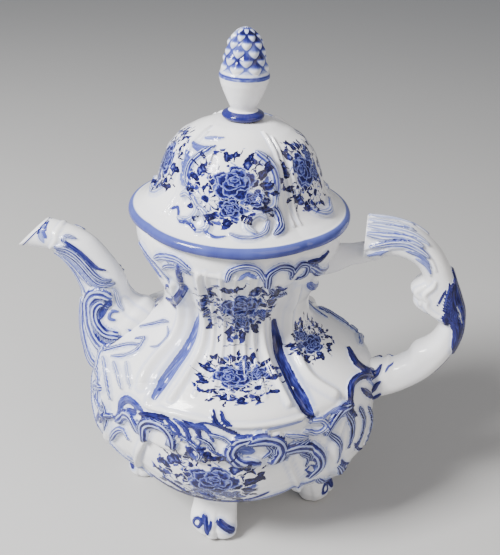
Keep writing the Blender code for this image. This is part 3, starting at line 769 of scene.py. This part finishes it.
spout_marks = Marks(lambda number, degrees: on_tube(spout_sections, -1, degrees, number))
spout_folds = Marks(spout_marks.surface)
on_both_sides(spout_marks, (
    # the coiled shell beside the root
    (
        ((0.6, 108), (1.1, 90), (2.2, 76), (3.4, 68), (4.4, 66), (5, 80), (4.9, 100), (4.5, 112)),
        5.6, 2.4, 0.62, 1, (0.2, 0.2),
    ),
    (((1.4, 108), (2.1, 96), (3, 86), (3.7, 86), (4, 98), (3.7, 108)), 4.2, 2.2, 0.72, 1, (0.2, 0.3)),
    (((3.1, 98), (3.5, 103), (3.9, 114), (3.6, 120)), 3.6, 0.8, 0.74, 0, (0.5, 0.5)),
    (((2.3, 120), (2.7, 112), (3, 120), (2.7, 130)), 1.5, 1, 0.5, 0, (0.4, 0.4)),
    (((0.4, 122), (0.8, 114), (1.3, 110)), 1.6, 1, 0.55, 0, (0.4, 0.4)),
    (((0.2, 136), (0.6, 128), (1, 124)), 1.4, 1, 0.5, 0, (0.4, 0.4)),
    (((0.3, 60), (1.4, 50), (2.8, 44), (4.2, 44)), 4, 2, 0.5, 1, (0.3, 0.5)),
    (((0.4, 34), (1.6, 26), (3, 22), (4.4, 26)), 3.6, 1.8, 0.45, 1, (0.3, 0.5)),
    # ridges that run on up the spout
    (
        ((5.35, 134), (5.5, 114), (5.9, 97), (6.6, 88), (7.4, 84), (8.1, 76), (8.6, 68)),
        2.6, 1.5, 0.7, 1, (0.5, 0.4),
    ),
    (((5.75, 130), (6, 113), (6.6, 101), (7.6, 97), (8.4, 92), (8.9, 80)), 2.6, 1.5, 0.72, 1, (0.5, 0.4)),
    (((6.5, 132), (6.8, 118), (7.4, 111), (8.2, 108), (9, 112)), 1.8, 0.9, 0.85, 0, (0.5, 0.4)),
    (((5.9, 78), (6.6, 70), (7.4, 64), (8.2, 56)), 3.4, 1.2, 0.42, 1, (0.5, 0.5)),
    (((5.2, 50), (6.2, 44), (7.4, 38), (8.4, 30)), 3.2, 1.2, 0.4, 1, (0.5, 0.5)),
    (((4.9, 20), (6.2, 14), (7.6, 12), (8.6, 10)), 3, 1, 0.35, 1, (0.5, 0.5)),
    (((5.5, 96), (6.2, 84), (7.1, 74), (8, 62)), 3.6, 0.7, 0.34, 0, (0.5, 0.5)),
    (((2.6, 140), (3.4, 138), (4.4, 136), (4.9, 130)), 2, 1, 0.26, 1, (0.5, 0.5)),
    (((8.7, 106), (9, 118), (9, 132), (8.6, 138)), 1.5, 1, 0.5, 1),
    # brushed lip
    (((9.9, 84), (10.25, 104), (10.5, 124), (10.6, 140)), 2.8, 0, 0.34, 0, (0.6, 0.6)),
    (((9.95, 104), (10.3, 118), (10.5, 134)), 2, 0, 0.6, 0, (0.5, 0.5)),
    (((10.55, 112), (10.72, 136), (10.8, 160), (10.82, 178)), 0.9, 0, 0.95, 0, (0.4, 0.4)),
    (((10.2, 126), (10.45, 146), (10.55, 166)), 0.7, 0, 0.7, 0, (0.4, 0.4)),
    (((10.78, 20), (10.8, 60), (10.8, 100), (10.8, 130), (10.78, 160)), 0.9, 0.3, 0.8, 0, (0.2, 0.3)),
))  # fmt: skip
on_both_sides(spout_folds, (
    (((9.15, 60), (9.3, 100), (9.6, 130), (9.7, 178)), 2.4, 0.9, 0, 0, (0.3, 0.3)),
    (((0.5, 150), (1.6, 150), (3, 152)), 5, 0.6, 0, 0, (0.3, 0.3)),
))

LIP_BULGE = 20  # mm that the lip would stand out by, one section on


def spout_place(angle, ring):
    number, inset = spout_rings[ring]
    point = on_tube(spout_sections, -1, math.degrees(angle), number, inset)
    point.x -= max(0, number - SPOUT_END) * LIP_BULGE
    return in_wall(point) if number < 5 else point


spout, ring_of = turned(len(spout_rings), SPOUT_AROUND, spout_place)
printed(spout, ring_of, spout_marks, spout_folds, 2, SPOUT_END * SPOUT_STEPS)
tube_glaze = glazed("spout_glaze")
settle("spout", spout, tube_glaze, "pot", "spout")

# ---------------------------------------------------------------------------------------
# Handle: a thick scroll cast solid, luted to the belly and held to the neck by a short stay.
# A cobalt acanthus leaf clasps its back, and a white two-lobed curl sits inside the bend.
HANDLE_AROUND = 112
# The outer and the inner point of each section as (out, up), and half its width.
handle_sections = (
    ((90, 92), (84, 122), 12.5), ((108, 101), (103, 129), 12.5), ((119, 106), (113, 131), 12.2),
    ((130, 113), (121, 135), 12), ((142, 123), (128, 143), 12), ((151, 135), (136, 151), 12),
    ((157, 147), (142, 157), 12), ((160.4, 160), (145, 165), 12), ((161.2, 171), (145, 173), 12.2),
    ((160, 181), (132, 178), 12.5), ((157, 189), (124, 187), 12.5), ((154.4, 195), (123, 194), 12.5),
    ((151.6, 201), (128, 201), 12.5), ((149, 207), (128, 206), 12.5), ((144, 216), (124, 212), 12.5),
    ((138, 224), (119, 215.5), 12.5), ((129, 232), (113, 217.5), 12.5), ((119, 238), (106, 218), 12.5),
    ((108, 241), (100, 216), 12.5), ((98, 242), (94, 213), 12.5), ((87, 242), (87, 212), 12.5),
)  # fmt: skip
stay_sections = (
    ((50, 218), (50, 194), 11), ((62, 219), (58, 196), 11), ((72, 220), (70, 200.5), 10),
    ((80, 221), (80, 207), 9.5), ((90, 224), (91, 211), 9.5), ((104, 229), (105, 219), 8),
)  # fmt: skip
# Swellings along the inner edge: section, how far in, how long.
INNER_CURLS = (
    (11.3, 1.6, 0.5), (10.25, -2.6, 0.3), (9.5, 1.6, 0.35), (8.75, -3.4, 0.28), (8.35, 2.2, 0.25),
    (4.5, 1.6, 0.45), (3.7, -1.4, 0.35), (2.1, 1.8, 0.2), (18.6, 1.2, 0.4), (19.6, -1.0, 0.3),
)  # fmt: skip


HANDLE_BOXY, STAY_BOXY = 0.78, 0.85


def on_handle(degrees, number, inset=0):
    point = on_tube(handle_sections, 1, degrees, number, inset, HANDLE_BOXY)
    inward = sum(far * math.exp(-(((number - at) / long) ** 2)) for at, far, long in INNER_CURLS)
    x0, z0, x1, z1, _ = between_sections(handle_sections, number)
    facing = max(0.0, -math.cos(math.radians(degrees))) ** 0.6
    return point + Vector((x1 - x0, 0, z1 - z0)).normalized() * inward * facing


HANDLE_END, HANDLE_STEPS = len(handle_sections) - 1, 9
handle_rings = [(0, CLOSED), (0, 8)]
handle_rings += [(n / HANDLE_STEPS, 0) for n in range(HANDLE_END * HANDLE_STEPS + 1)]
handle_rings += [(HANDLE_END, inset) for inset in (0.8, 2.2, 6, 10, CLOSED)]
handle_marks = Marks(lambda number, degrees: on_handle(degrees, number))
handle_folds = Marks(handle_marks.surface)
on_both_sides(handle_marks, (
    # the acanthus leaf, its lobes laid side by side
    (((6, 2), (7.4, 4), (9, 4), (11, 4), (13.2, 3)), 4.6, 1.1, 0.96, 0, (0.3, 0.3)),
    (((6.1, 12), (7.2, 28), (8.6, 34), (10.4, 32), (12.6, 26)), 4.4, 1.3, 0.9, 0, (0.3, 0.4)),
    (((6.2, 26), (7, 50), (8, 62), (9.4, 58), (10.8, 52), (12.2, 46)), 4.4, 1.2, 0.98, 0, (0.3, 0.4)),
    (((6.5, 52), (7.2, 68), (8.2, 80), (9, 80)), 3, 1, 0.9, 0, (0.3, 0.6)),
    (((9.05, 92), (9.5, 78), (10.4, 68), (11.6, 62), (12.6, 58)), 1.3, 0.5, 0.95, 0, (0.4, 0.4)),
    (((10, 90), (10.8, 82), (11.8, 74)), 1.1, 0.5, 0.9, 0, (0.4, 0.4)),
    (((8.5, 94), (9, 84), (9.9, 74), (10.9, 66), (12, 58)), 3.6, 1.2, 0.95, 0, (0.3, 0.5)),
    (((8.1, 88), (8.6, 72), (9.4, 62)), 3.2, 1, 0.95, 0),
    (((9.5, 82), (10.3, 72), (11.2, 64)), 0.9, 0.3, 0.25, 0),
    (((7.3, 56), (8.2, 60), (9.1, 52), (10, 46)), 0.8, 0.3, 0.3, 0),
    (((7, 34), (8.2, 40), (9.6, 36), (11, 30)), 0.7, 0.3, 0.35, 0),
    (((6.6, 20), (7.6, 18), (8.8, 16)), 0.8, 0.3, 0.3, 0),
    # streaks on the top scroll, and the leaf where it meets the belly
    (((19.7, 12), (18.6, 14), (17.2, 16)), 3, 1.2, 0.2, 1),
    (((19.8, 36), (18.6, 38), (17.2, 38), (16, 36)), 3, 1.2, 0.24, 1),
    (((19.8, 62), (18.6, 66), (17.4, 62), (16.2, 58)), 3, 1.4, 0.3, 1),
    (((19.4, 90), (18.2, 84), (16.8, 76), (15.4, 74)), 2.6, 1.4, 0.36, 1),
    (((19.5, 112), (18.8, 104), (18.1, 100)), 1.6, 1, 0.4, 0),
    (((16.6, 92), (15.6, 88), (14.6, 90)), 1.6, 1, 0.4, 0, (0.5, 0.5)),
    (((15.6, 100), (14.6, 96), (13.8, 98)), 1.3, 0.8, 0.36, 0, (0.5, 0.5)),
    (((3.9, 8), (4.8, 12), (5.8, 10)), 1.6, 0.6, 0.9, 0, (0.5, 0.5)),
    (((16.9, 14), (17.9, 22), (18.8, 30)), 1.1, 0.4, 0.5, 0, (0.5, 0.5)),
    (((16.7, 44), (17.7, 52), (18.6, 56)), 1.1, 0.4, 0.5, 0, (0.5, 0.5)),
    (((16.8, 62), (17.7, 70), (18.5, 76)), 1.2, 0.4, 0.62, 0, (0.5, 0.5)),
    (((0.2, 100), (0.7, 112), (1.2, 130), (1.5, 158)), 2.4, 1.2, 0.9, 0, (0.3, 0.5)),
    (((0.3, 60), (0.9, 84), (1.35, 100)), 2.4, 1.2, 0.85, 0, (0.3, 0.5)),
    (((0.3, 20), (0.9, 44), (1.3, 64)), 2.4, 1.2, 0.8, 0, (0.3, 0.5)),
    (((1.9, 132), (2.2, 148), (2.5, 164)), 0.9, 0.6, 0.7, 0, (0.4, 0.4)),
))  # fmt: skip
on_both_sides(handle_folds, (
    (((13.6, 104), (15, 90), (16.6, 88), (18.2, 96), (19.4, 112)), 1.8, 1, 0, 0, (0.3, 0.3)),
    (((14, 84), (15.4, 74), (17, 74), (18.6, 82), (19.8, 96)), 1.6, 0.9, 0, 0, (0.3, 0.3)),
    (((18.2, 118), (18.8, 104), (19.5, 110), (19.3, 124)), 1.8, 1.2, 0, 0, (0.3, 0.3)),
    (((8.6, 96), (9.2, 108), (10.2, 112), (11.4, 108), (12.8, 98)), 2.6, 1.2, 0, 0, (0.3, 0.3)),
    (((9.9, 130), (10.8, 138), (11.8, 132)), 3, 1, 0, 0, (0.3, 0.3)),
))


def handle_place(angle, ring):
    number, inset = handle_rings[ring]
    point = on_handle(math.degrees(angle), number, inset)
    return in_wall(point) if number < 3 else point


STAY_END, STAY_STEPS, STAY_AROUND = len(stay_sections) - 1, 5, 64
STAY_RINGS = STAY_END * STAY_STEPS + 3


def stay_place(angle, ring):
    number = min(STAY_END, max(0, (ring - 1) / STAY_STEPS))
    inset = CLOSED if ring in (0, STAY_RINGS - 1) else 0
    return in_wall(on_tube(stay_sections, 1, math.degrees(angle), number, inset, STAY_BOXY))


handle, ring_of = turned(len(handle_rings), HANDLE_AROUND, handle_place)
printed(handle, ring_of, handle_marks, handle_folds, 2, 1 + HANDLE_END * HANDLE_STEPS)
stay, _ = turned(STAY_RINGS, STAY_AROUND, stay_place)
stay_stroke, _, _ = paint_layers(stay)
for vert in stay.verts:
    vert[stay_stroke] = UNPAINTED
stay_mesh = bpy.data.meshes.new("stay")
stay.to_mesh(stay_mesh)
stay.free()
handle.from_mesh(stay_mesh)
bpy.data.meshes.remove(stay_mesh)
settle("handle", handle, tube_glaze, "pot", "handle")

# ---------------------------------------------------------------------------------------
# Paws: four short lion's feet, cast solid and luted under the bowl. Each has three toes with
# blue nails, and a dry, unglazed sole.
PAW_AROUND, PAW_RINGS = 110, 62
NAIL_INK, SOLE_ROUNDING = 0.86, 0.93
# Height above the table, inner and outer reach, half width.
paw_sections = (
    (0, 48.5, 67.5, 14.5), (1.2, 46, 70, 16.4), (4, 44.2, 71.8, 17.8), (9, 43.2, 72.2, 18.6),
    (15, 42, 70.4, 18.4), (22, 41, 66.6, 17.0), (30, 40, 64.2, 15.4), (38, 39, 66, 15.6),
    (50, 38, 69, 16.8),
)  # fmt: skip
PAW_REACH = 59  # the middle of the foot drawn above, from the axis
PAW_TOES = ((-46, 30), (-2, 15), (43, 31))  # degrees round the foot, half width


PAW_TOP = paw_sections[-1][0]
TOE_DEPTH, SIDE_STEP, LITTLE_TOE = 3.6, 1.7, 2.4  # grooves, the swing to one side, the toe set back


def on_paw(heading, out_to, degrees, z):
    """A point of a foot whose toes face heading, out_to mm from the axis."""
    heights = [row[0] for row in paw_sections]
    low = max(0, min(len(heights) - 2, bisect.bisect(heights, z) - 1))
    share = min(1.0, max(0.0, (z - heights[low]) / (heights[low + 1] - heights[low])))
    near, far, half = mixed(paw_sections[low][1:], paw_sections[low + 1][1:], share)
    t = math.radians(degrees)
    toes = max(max(0.0, 1 - ((degrees - at) / wide) ** 2) ** 0.5 for at, wide in PAW_TOES) - 0.5
    toes *= TOE_DEPTH * (1 - eased(14, 27, z)) * (0.55 + 0.45 * eased(0, 5, z))
    bank = math.sin(t) * (half + toes * 0.7) - SIDE_STEP * eased(2, 12, z) * (1 - eased(22, 34, z))
    out = (near + far) / 2 + ((far - near) / 2 + toes) * math.cos(t) + out_to - PAW_REACH
    out -= LITTLE_TOE * eased(8, 45, -degrees) * (1 - eased(14, 27, z))
    way = Vector((math.cos(heading), math.sin(heading), 0))
    return way * out + Vector((-way.y, way.x, 0)) * bank + Vector((0, 0, z))


PAW_GRIP = 2  # mm that a foot reaches into the bowl's wall


def under_bowl(point):
    """Keeps the top of a foot inside the wall of the bowl that it is stuck to."""
    reach = math.hypot(point.x, point.y)
    under = point.copy()
    while under.z > outer_rows[0][0] + 1 and bowl_reach(under) - PAW_GRIP > reach:
        under.z -= 0.5
    under.z = min(point.z, under.z + PAW_GRIP)
    return under


# The sole is left dry: bare, matt clay up to a millimetre above the table.
paw_glaze = glazed("paw_glaze")
sole = Wire(paw_glaze.node_tree)
sole_shader = paw_glaze.node_tree.nodes["Principled BSDF"]
dry = 1 - sole.node("TexCoord", output=3).split()[2].between(0.0004, 0.0011)
for socket, (slot, bare) in {"Base Color": (6, (0.55, 0.50, 0.43, 1)), "Roughness": (2, 0.75)}.items():
    wired = sole_shader.inputs[socket].links[0].from_socket
    kind = "RGBA" if slot == 6 else "FLOAT"
    sockets = {0: dry, slot: Wire(sole.tree, wired), slot + 1: bare}
    wiped = sole.node("Mix", {"data_type": kind}, sockets, output=2 if slot == 6 else 0)
    sole.tree.links.new(wiped.socket, sole_shader.inputs[socket])

for name, node in (
    ("paw_front", "foot_front"), ("paw_back", "foot_back"),
    ("paw_under_spout", "foot_spout_side"), ("paw_under_handle", "foot_handle_side"),
):  # fmt: skip
    foot_low, foot_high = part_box(node)
    foot = (foot_low + foot_high) / 2 / MM
    heading = math.atan2(foot.y, foot.x)
    out_to = 70 if abs(foot.x) > abs(foot.y) else PAW_REACH

    def paw_surface(degrees, z, heading=heading, out_to=out_to):
        return on_paw(heading, out_to, degrees, z)

    # nails: a ring on the little toe, a leaf with a thin stroke beside it, a dark oval
    nails = Marks(paw_surface)
    for path, half_width, height, ends in (
        (
            ((-44, 11), (-40, 14.5), (-30, 16.5), (-24, 14.5), (-28, 10.5), (-39, 9.5), (-44, 11)),
            1.4, 0.3, (0, 0),
        ),
        (((-16, 18.5), (-11, 15), (-7, 8.5)), 2.9, 0.5, (0.2, 0.5)),
        (((1, 18), (1, 14), (-3, 10)), 1.0, 0.2, (0.4, 0.5)),
        (((20, 17.5), (34, 14), (52, 9.5)), 3.2, 0.6, (0.25, 0.2)),
    ):  # fmt: skip
        nails.draw(path, half_width, height, NAIL_INK, 0, ends)
    nails.settle()

    def paw_place(angle, ring, surface=paw_surface):
        """Rings run from the middle of the sole to the middle of the top."""
        z = 0 if ring < 2 else PAW_TOP * min(1, (ring - 1.6) / (PAW_RINGS - 2.6))
        point = surface(math.degrees(angle), z)
        if ring in (0, 1, PAW_RINGS - 1):
            centre = (surface(90, z) + surface(-90, z)) / 2
            point = centre + (point - centre) * (SOLE_ROUNDING if ring == 1 else 0)
        return under_bowl(point) if ring > PAW_RINGS / 3 else point

    paw, ring_of = turned(PAW_RINGS, PAW_AROUND, paw_place)
    printed(paw, ring_of, nails, nails, 3, PAW_RINGS - 3)
    settle(name, paw, paw_glaze, "pot", node)

# ---------------------------------------------------------------------------------------
# Lid: a loose four-lobed dome with a flaring rim, cast hollow. A ring underneath drops inside
# the mouth. The rim's bead is banded in cobalt, and prints sit in scrolled frames on the lobes.
LID_RINGS, LID_AROUND = 1.15, 360
DOME_RISE = 66.7  # from the seat to the top of the dome, mm
SEAT_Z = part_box("lid")[1].z / MM - DOME_RISE
# Height above the seat, radius, and the valleys' radius as a share of it.
lid_outline = (
    (66.6, 0, 1), (66.5, 13, 1), (65, 22, 0.965), (61.5, 31.2, 0.92), (55.7, 41.2, 0.875),
    (45.7, 49.3, 0.85), (32.7, 54.3, 0.85), (23.7, 56.4, 0.87), (17, 60, 0.90),
    (11.5, 65, 0.94), (8.4, 70.2, 0.96), (7.3, 71.6, 0.965), (7.9, 73.0, 0.965), (6.6, 74.9, 0.966),
    (4.4, 75.9, 0.967), (2.4, 75.8, 0.967), (0.9, 74.8, 0.967), (0.1, 73, 0.966),
)  # fmt: skip
lid_underside = (
    (0, 71, 0.965), (0, 64.9, 0.965), (-1, 64.5, 0.965), (-9.5, 63.9, 0.965), (-11, 62.9, 0.965),
    (-11, 60.9, 0.965), (-10, 59.9, 0.965), (4, 59.7, 0.965), (12, 56, 0.93), (20, 51.5, 0.88),
    (31, 49.5, 0.86), (43, 44.5, 0.85), (51.5, 37, 0.87), (57, 28, 0.91), (60.8, 16, 0.97),
    (61.5, 0, 1),
)  # fmt: skip
lid_outer = finely([(z, r, r * share) for z, r, share in lid_outline], LID_RINGS, 2)
lid_rows = lid_outer + finely([(z, r, r * share) for z, r, share in lid_underside], 2.6, 1)
lid_rows = [(SEAT_Z + z, r, valley) for z, r, valley in lid_rows]
lid_path = [-far for far in along_path(lid_rows)]
BAND_R = 72.2  # the rim's bead starts here
RIM_FIRST = next(n for n, row in enumerate(lid_rows) if row[1] > BAND_R)
RIM_LAST = len(lid_outer) - 2


def on_lid(degrees, z):
    rows = lid_rows[1 : RIM_FIRST + 4]
    low = next((n for n in range(len(rows) - 1) if rows[n + 1][0] <= z), len(rows) - 2)
    share = min(1.0, max(0.0, (z - rows[low][0]) / min(-1e-6, rows[low + 1][0] - rows[low][0])))
    radius, valley = mixed(rows[low][1:], rows[low + 1][1:], share)
    angle = math.radians(degrees)
    return polar(angle, lobed(around_from(angle, 0), radius, radius, valley), z)


QUARTERS = tuple((turn, 1) for turn in (0, 90, 180, 270))
lid_marks = Marks(on_lid, HALVES)
lid_folds = Marks(on_lid, QUARTERS)
for path, half_width, height in (
    (((-49, 300), (-48, 292), (-46, 278), (-45, 262), (-46, 250)), 1.9, 1.5),
    (((-41, 298), (-42, 288), (-40.5, 274), (-40, 260), (-41, 250)), 1.6, 1.2),
    (((-56, 289), (-53, 281), (-53, 272), (-56, 263)), 2, 1.1),
    (((-34, 288), (-36, 278), (-35, 268), (-32, 258)), 2, 1),
):
    lid_folds.draw(path, half_width, height, ends=(0.3, 0.3))
lid_folds.settle()
for path, half_width, height, ink, lines, ends in (
    # the frame of curls round the front and the back prints
    (((-66, 292), (-59, 288), (-54.5, 281), (-54, 273), (-57, 266)), 2.6, 1.6, 0.36, 1, (0.3, 0.4)),
    (
        ((-60, 275), (-57, 270), (-58, 263), (-64, 261), (-68, 265), (-66, 270)),
        2.2, 1.8, 0.2, 1, (0.3, 0.4),
    ),
    (((-58, 262), (-55, 257), (-55, 251), (-60, 248)), 2.3, 1.5, 0.5, 1, (0.3, 0.4)),
    (((-65, 257), (-69, 259), (-74, 257), (-76, 252.5), (-72, 249.5)), 2, 1.7, 0.14, 1, (0.3, 0.4)),
    (((-63, 254), (-66, 249.5), (-73, 247.6), (-80, 247.6), (-85, 249)), 1.6, 1.2, 0.32, 1, (0.3, 0.4)),
    (((-139, 286), (-132, 282.5), (-125, 281.5)), 2.7, 0.7, 0.34, 0, (0.5, 0.6)),
    (((-138, 279), (-131, 276), (-124.5, 275)), 2.7, 0.7, 0.3, 0, (0.5, 0.6)),
    (((-136, 272), (-130, 269.5), (-125, 269)), 2.2, 0.6, 0.26, 0, (0.5, 0.6)),
    (((-135, 291), (-126, 291), (-117, 292), (-108, 294)), 2.2, 0.9, 0.34, 0, (0.5, 0.6)),
    (((-126, 296), (-116, 297), (-104, 298)), 1.6, 0.7, 0.26, 0, (0.5, 0.6)),
    (((-110, 293), (-119, 288), (-124, 281), (-123, 273), (-117, 270)), 2.2, 1.5, 0.4, 1, (0.3, 0.4)),
    (
        ((-124, 263), (-119, 266), (-112, 264), (-108, 258), (-112, 252), (-119, 251)),
        2.3, 1.7, 0.2, 1, (0.3, 0.4),
    ),
    (((-106, 260), (-101, 256), (-99, 250.5), (-104, 248)), 2.2, 1.5, 0.22, 1, (0.3, 0.4)),
    (((-131, 252), (-126, 255), (-121, 251.5)), 1.1, 0.6, 0.5, 0, (0.4, 0.4)),
    (((-118, 249.5), (-111, 250.6), (-104, 247.6)), 1.3, 0.6, 0.5, 0, (0.4, 0.5)),
    (((-101, 249), (-94, 247.2), (-88, 247.8)), 1.1, 0.7, 0.4, 0, (0.4, 0.5)),
    # lighter curls on the end lobes
    (((-150, 262), (-156, 256), (-164, 254), (-170, 258)), 2.2, 1.3, 0.2, 1, (0.3, 0.4)),
    (((-28, 256), (-20, 251), (-11, 250), (-4, 254)), 2.2, 1.3, 0.2, 1, (0.3, 0.4)),
):  # fmt: skip
    lid_marks.draw(path, half_width * 1.15, height * 1.3, ink * 1.5, lines, ends)
lid_marks.settle()
lid_prints = [
    (turn + degrees, SEAT_Z + above, half_width, half_height, lean)
    for turn in (0, 180)
    for degrees, above, half_width, half_height, lean in (
        (-88.5, 38, 28, 25, 0), (-23, 40, 20, 25, 76), (-162, 42, 18, 26, -70),
    )
]  # fmt: skip


def lid_place(angle, ring):
    z, radius, valley = lid_rows[ring]
    return polar(angle, lobed(angle, radius, radius, valley), z)


lid, ring_of = turned(len(lid_rows), LID_AROUND, lid_place)
stroke, paint, _ = printed(
    lid, ring_of, lid_marks, lid_folds, 2, RIM_FIRST - 1, lid_prints, lid_rows, lid_path
)
# the band round the bead, its ink paler towards the top and darker towards the bottom
for vert in lid.verts:
    if RIM_FIRST <= round(vert[ring_of]) <= RIM_LAST:
        vert[stroke] = Vector((vert.co.x * 0.02, vert.co.y * 0.05, -2))
        vert[paint] = Vector((0, 0, 0.62 - 0.026 * (vert.co.z - SEAT_Z)))
settle("lid", lid, glazed("lid_glaze", prints=True), "lid_and_knob", "lid")

# ---------------------------------------------------------------------------------------
# Knob: a turned cup on a cobalt collar, with a cone of overlapping scales on top, cast in one
# and stuck on the lid. The scales are picked out in cobalt between their white tips.
KNOB_AROUND, SCALES = 168, 7
knob_low, knob_high = (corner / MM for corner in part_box("finial"))
# Height above the dome, radius.
knob_outline = (
    (0, 0), (0, 12.2), (1.0, 13.6), (2.3, 14.1), (3.7, 13.4), (4.8, 10.8), (5.8, 8.5),
    (7.3, 8.6), (11.6, 10.6), (17, 13.1), (22.5, 15.2), (25.6, 15.9), (27, 16.4),
    (28.8, 16.2), (30.6, 15.3), (33.3, 14.5), (36.5, 13.7), (41.4, 12.5), (46.8, 11.2),
    (51.4, 9.2), (54.9, 6.2), (56.8, 3.2), (57.6, 0),
)  # fmt: skip
knob_rows = finely(knob_outline, 0.42, 3)
knob_rows[-1] = (knob_high.z - knob_low.z - SHY, 0)
knob_path = along_path(knob_rows)
SCALES_FROM, SCALE_TIERS, SCALE_DEPTH = 29, 3.4, 1.6
scale_start = next(reach for row, reach in zip(knob_rows, knob_path) if row[0] > SCALES_FROM)
SCALE_RISE = (knob_path[-1] - scale_start) / SCALE_TIERS


def scale_at(angle, reach):
    """How far into a scale a point of the cone lies, 1 in its middle, and how near its top."""
    turns, rows = SCALES * angle / (2 * math.pi), (reach - scale_start) / SCALE_RISE
    left, right = turns + rows, rows - turns
    inside = abs(math.sin(math.pi * left) * math.sin(math.pi * right))
    return inside, left % 1 + right % 1 - 1


def knob_place(angle, ring):
    z, radius = knob_rows[ring]
    inside, top = scale_at(angle, knob_path[ring])
    on_cone = eased(30, 32.5, z) * (1 - eased(52, 57.3, z))
    radius += SCALE_DEPTH * (inside * (1 - 0.4 * top) - 0.45) * on_cone
    return polar(angle, radius, knob_low.z + z)


COLLAR_TOP, LINE_FROM, LINE_TO, BAND_INK = 5.2, 27, 28.6, 0.7
knob, ring_of = turned(len(knob_rows), KNOB_AROUND, knob_place)
stroke, paint, _ = paint_layers(knob)
for vert in knob.verts:
    ring = round(vert[ring_of])
    z, angle = knob_rows[ring][0], math.atan2(vert.co.y, vert.co.x)
    ink = 0.0
    if z < COLLAR_TOP and ring > 1:
        ink = BAND_INK
    elif LINE_FROM < z < LINE_TO:
        ink = BAND_INK * (0.6 + 0.4 * noise.noise(vert.co * 0.35))
    elif z >= LINE_TO:
        inside, top = scale_at(angle, knob_path[ring])
        patch_and_side_shade = 0.5 + 0.7 * noise.noise(vert.co * 0.11 + Vector((3, 1, 8)))
        # more ink on the knob's front right side, away from the window light: painted shade
        patch_and_side_shade = (patch_and_side_shade + 0.3 * math.cos(angle + 0.9)) * eased(29, 40, z)
        ink = (1 - eased(0.05, 0.3, inside)) * (0.3 + 0.4 * patch_and_side_shade)
        ink = max(ink, eased(-0.1, 0.35, top) * (0.12 + 0.62 * patch_and_side_shade)) + 0.1 * patch_and_side_shade
        if z < 31:
            ink = max(ink * 0.4, 0.6 * (1 - eased(29, 30, z)))
    vert[stroke] = Vector((angle * 2, z * 0.15, -2))
    vert[paint] = Vector((0, 0, ink))
settle("knob", knob, glazed("knob_glaze"), "lid_and_knob", "finial")

# ---------------------------------------------------------------------------------------
# Room: a plain pale table, a large soft window light from the upper left, a weak fill.
floor_mesh = bmesh.new()
bmesh.ops.create_grid(floor_mesh, x_segments=1, y_segments=1, size=3)
floor_data = bpy.data.meshes.new("table_top")
floor_mesh.to_mesh(floor_data)
floor_mesh.free()
floor = bpy.data.objects.new("table_top", floor_data)
bpy.context.scene.collection.objects.link(floor)
table = bpy.data.materials.new("pale_table")
table.use_nodes = True
table_shader = table.node_tree.nodes["Principled BSDF"]
table_shader.inputs["Base Color"].default_value = (0.46, 0.46, 0.46, 1)
table_shader.inputs["Roughness"].default_value = 0.6
floor_data.materials.append(table)

world = bpy.data.worlds.new("room")
world.use_nodes = True
world.node_tree.nodes["Background"].inputs["Color"].default_value = (0.93, 0.95, 1.0, 1)
world.node_tree.nodes["Background"].inputs["Strength"].default_value = 0.37
bpy.context.scene.world = world


POT_MIDDLE = Vector((0, 0, 0.16))


def window(name, place, size, power, color):
    """A soft square light that faces the pot."""
    light = bpy.data.lights.new(name, "AREA")
    light.size, light.energy, light.color = size, power, color
    lamp = bpy.data.objects.new(name, light)
    lamp.location = place
    lamp.rotation_euler = (POT_MIDDLE - lamp.location).to_track_quat("-Z", "Y").to_euler()
    bpy.context.scene.collection.objects.link(lamp)


window("window_light", (-0.95, -0.75, 1.25), 0.5, 76, (1.0, 0.985, 0.96))
window("room_fill", (1.1, -0.7, 0.9), 1.2, 9, (1.0, 0.90, 0.78))

# Camera: it looks down on the front panels from a little towards the handle, slightly rolled.
ROUND, DOWN, ROLL = math.radians(8), math.radians(28), math.radians(2.6)
LENS, BACK, ASIDE, UP = 53.19, 0.518, 0.0093, 0.4615  # mm, then the eye's place in metres
ahead = Vector((-math.sin(ROUND), math.cos(ROUND), 0))
forward = ahead * math.cos(DOWN) + Vector((0, 0, -math.sin(DOWN)))
level = Vector((math.cos(ROUND), math.sin(ROUND), 0))
lifted = level.cross(forward)
right = level * math.cos(ROLL) + lifted * math.sin(ROLL)
up = lifted * math.cos(ROLL) - level * math.sin(ROLL)
camera_data = bpy.data.cameras.new("camera")
camera_data.sensor_width = 36
camera_data.lens = LENS
camera = bpy.data.objects.new("camera", camera_data)
eye = level * ASIDE - ahead * BACK + Vector((0, 0, UP))
turn = Matrix((right, up, -forward)).transposed().to_4x4()
camera.matrix_world = Matrix.Translation(eye) @ turn
bpy.context.scene.collection.objects.link(camera)
bpy.context.scene.camera = camera
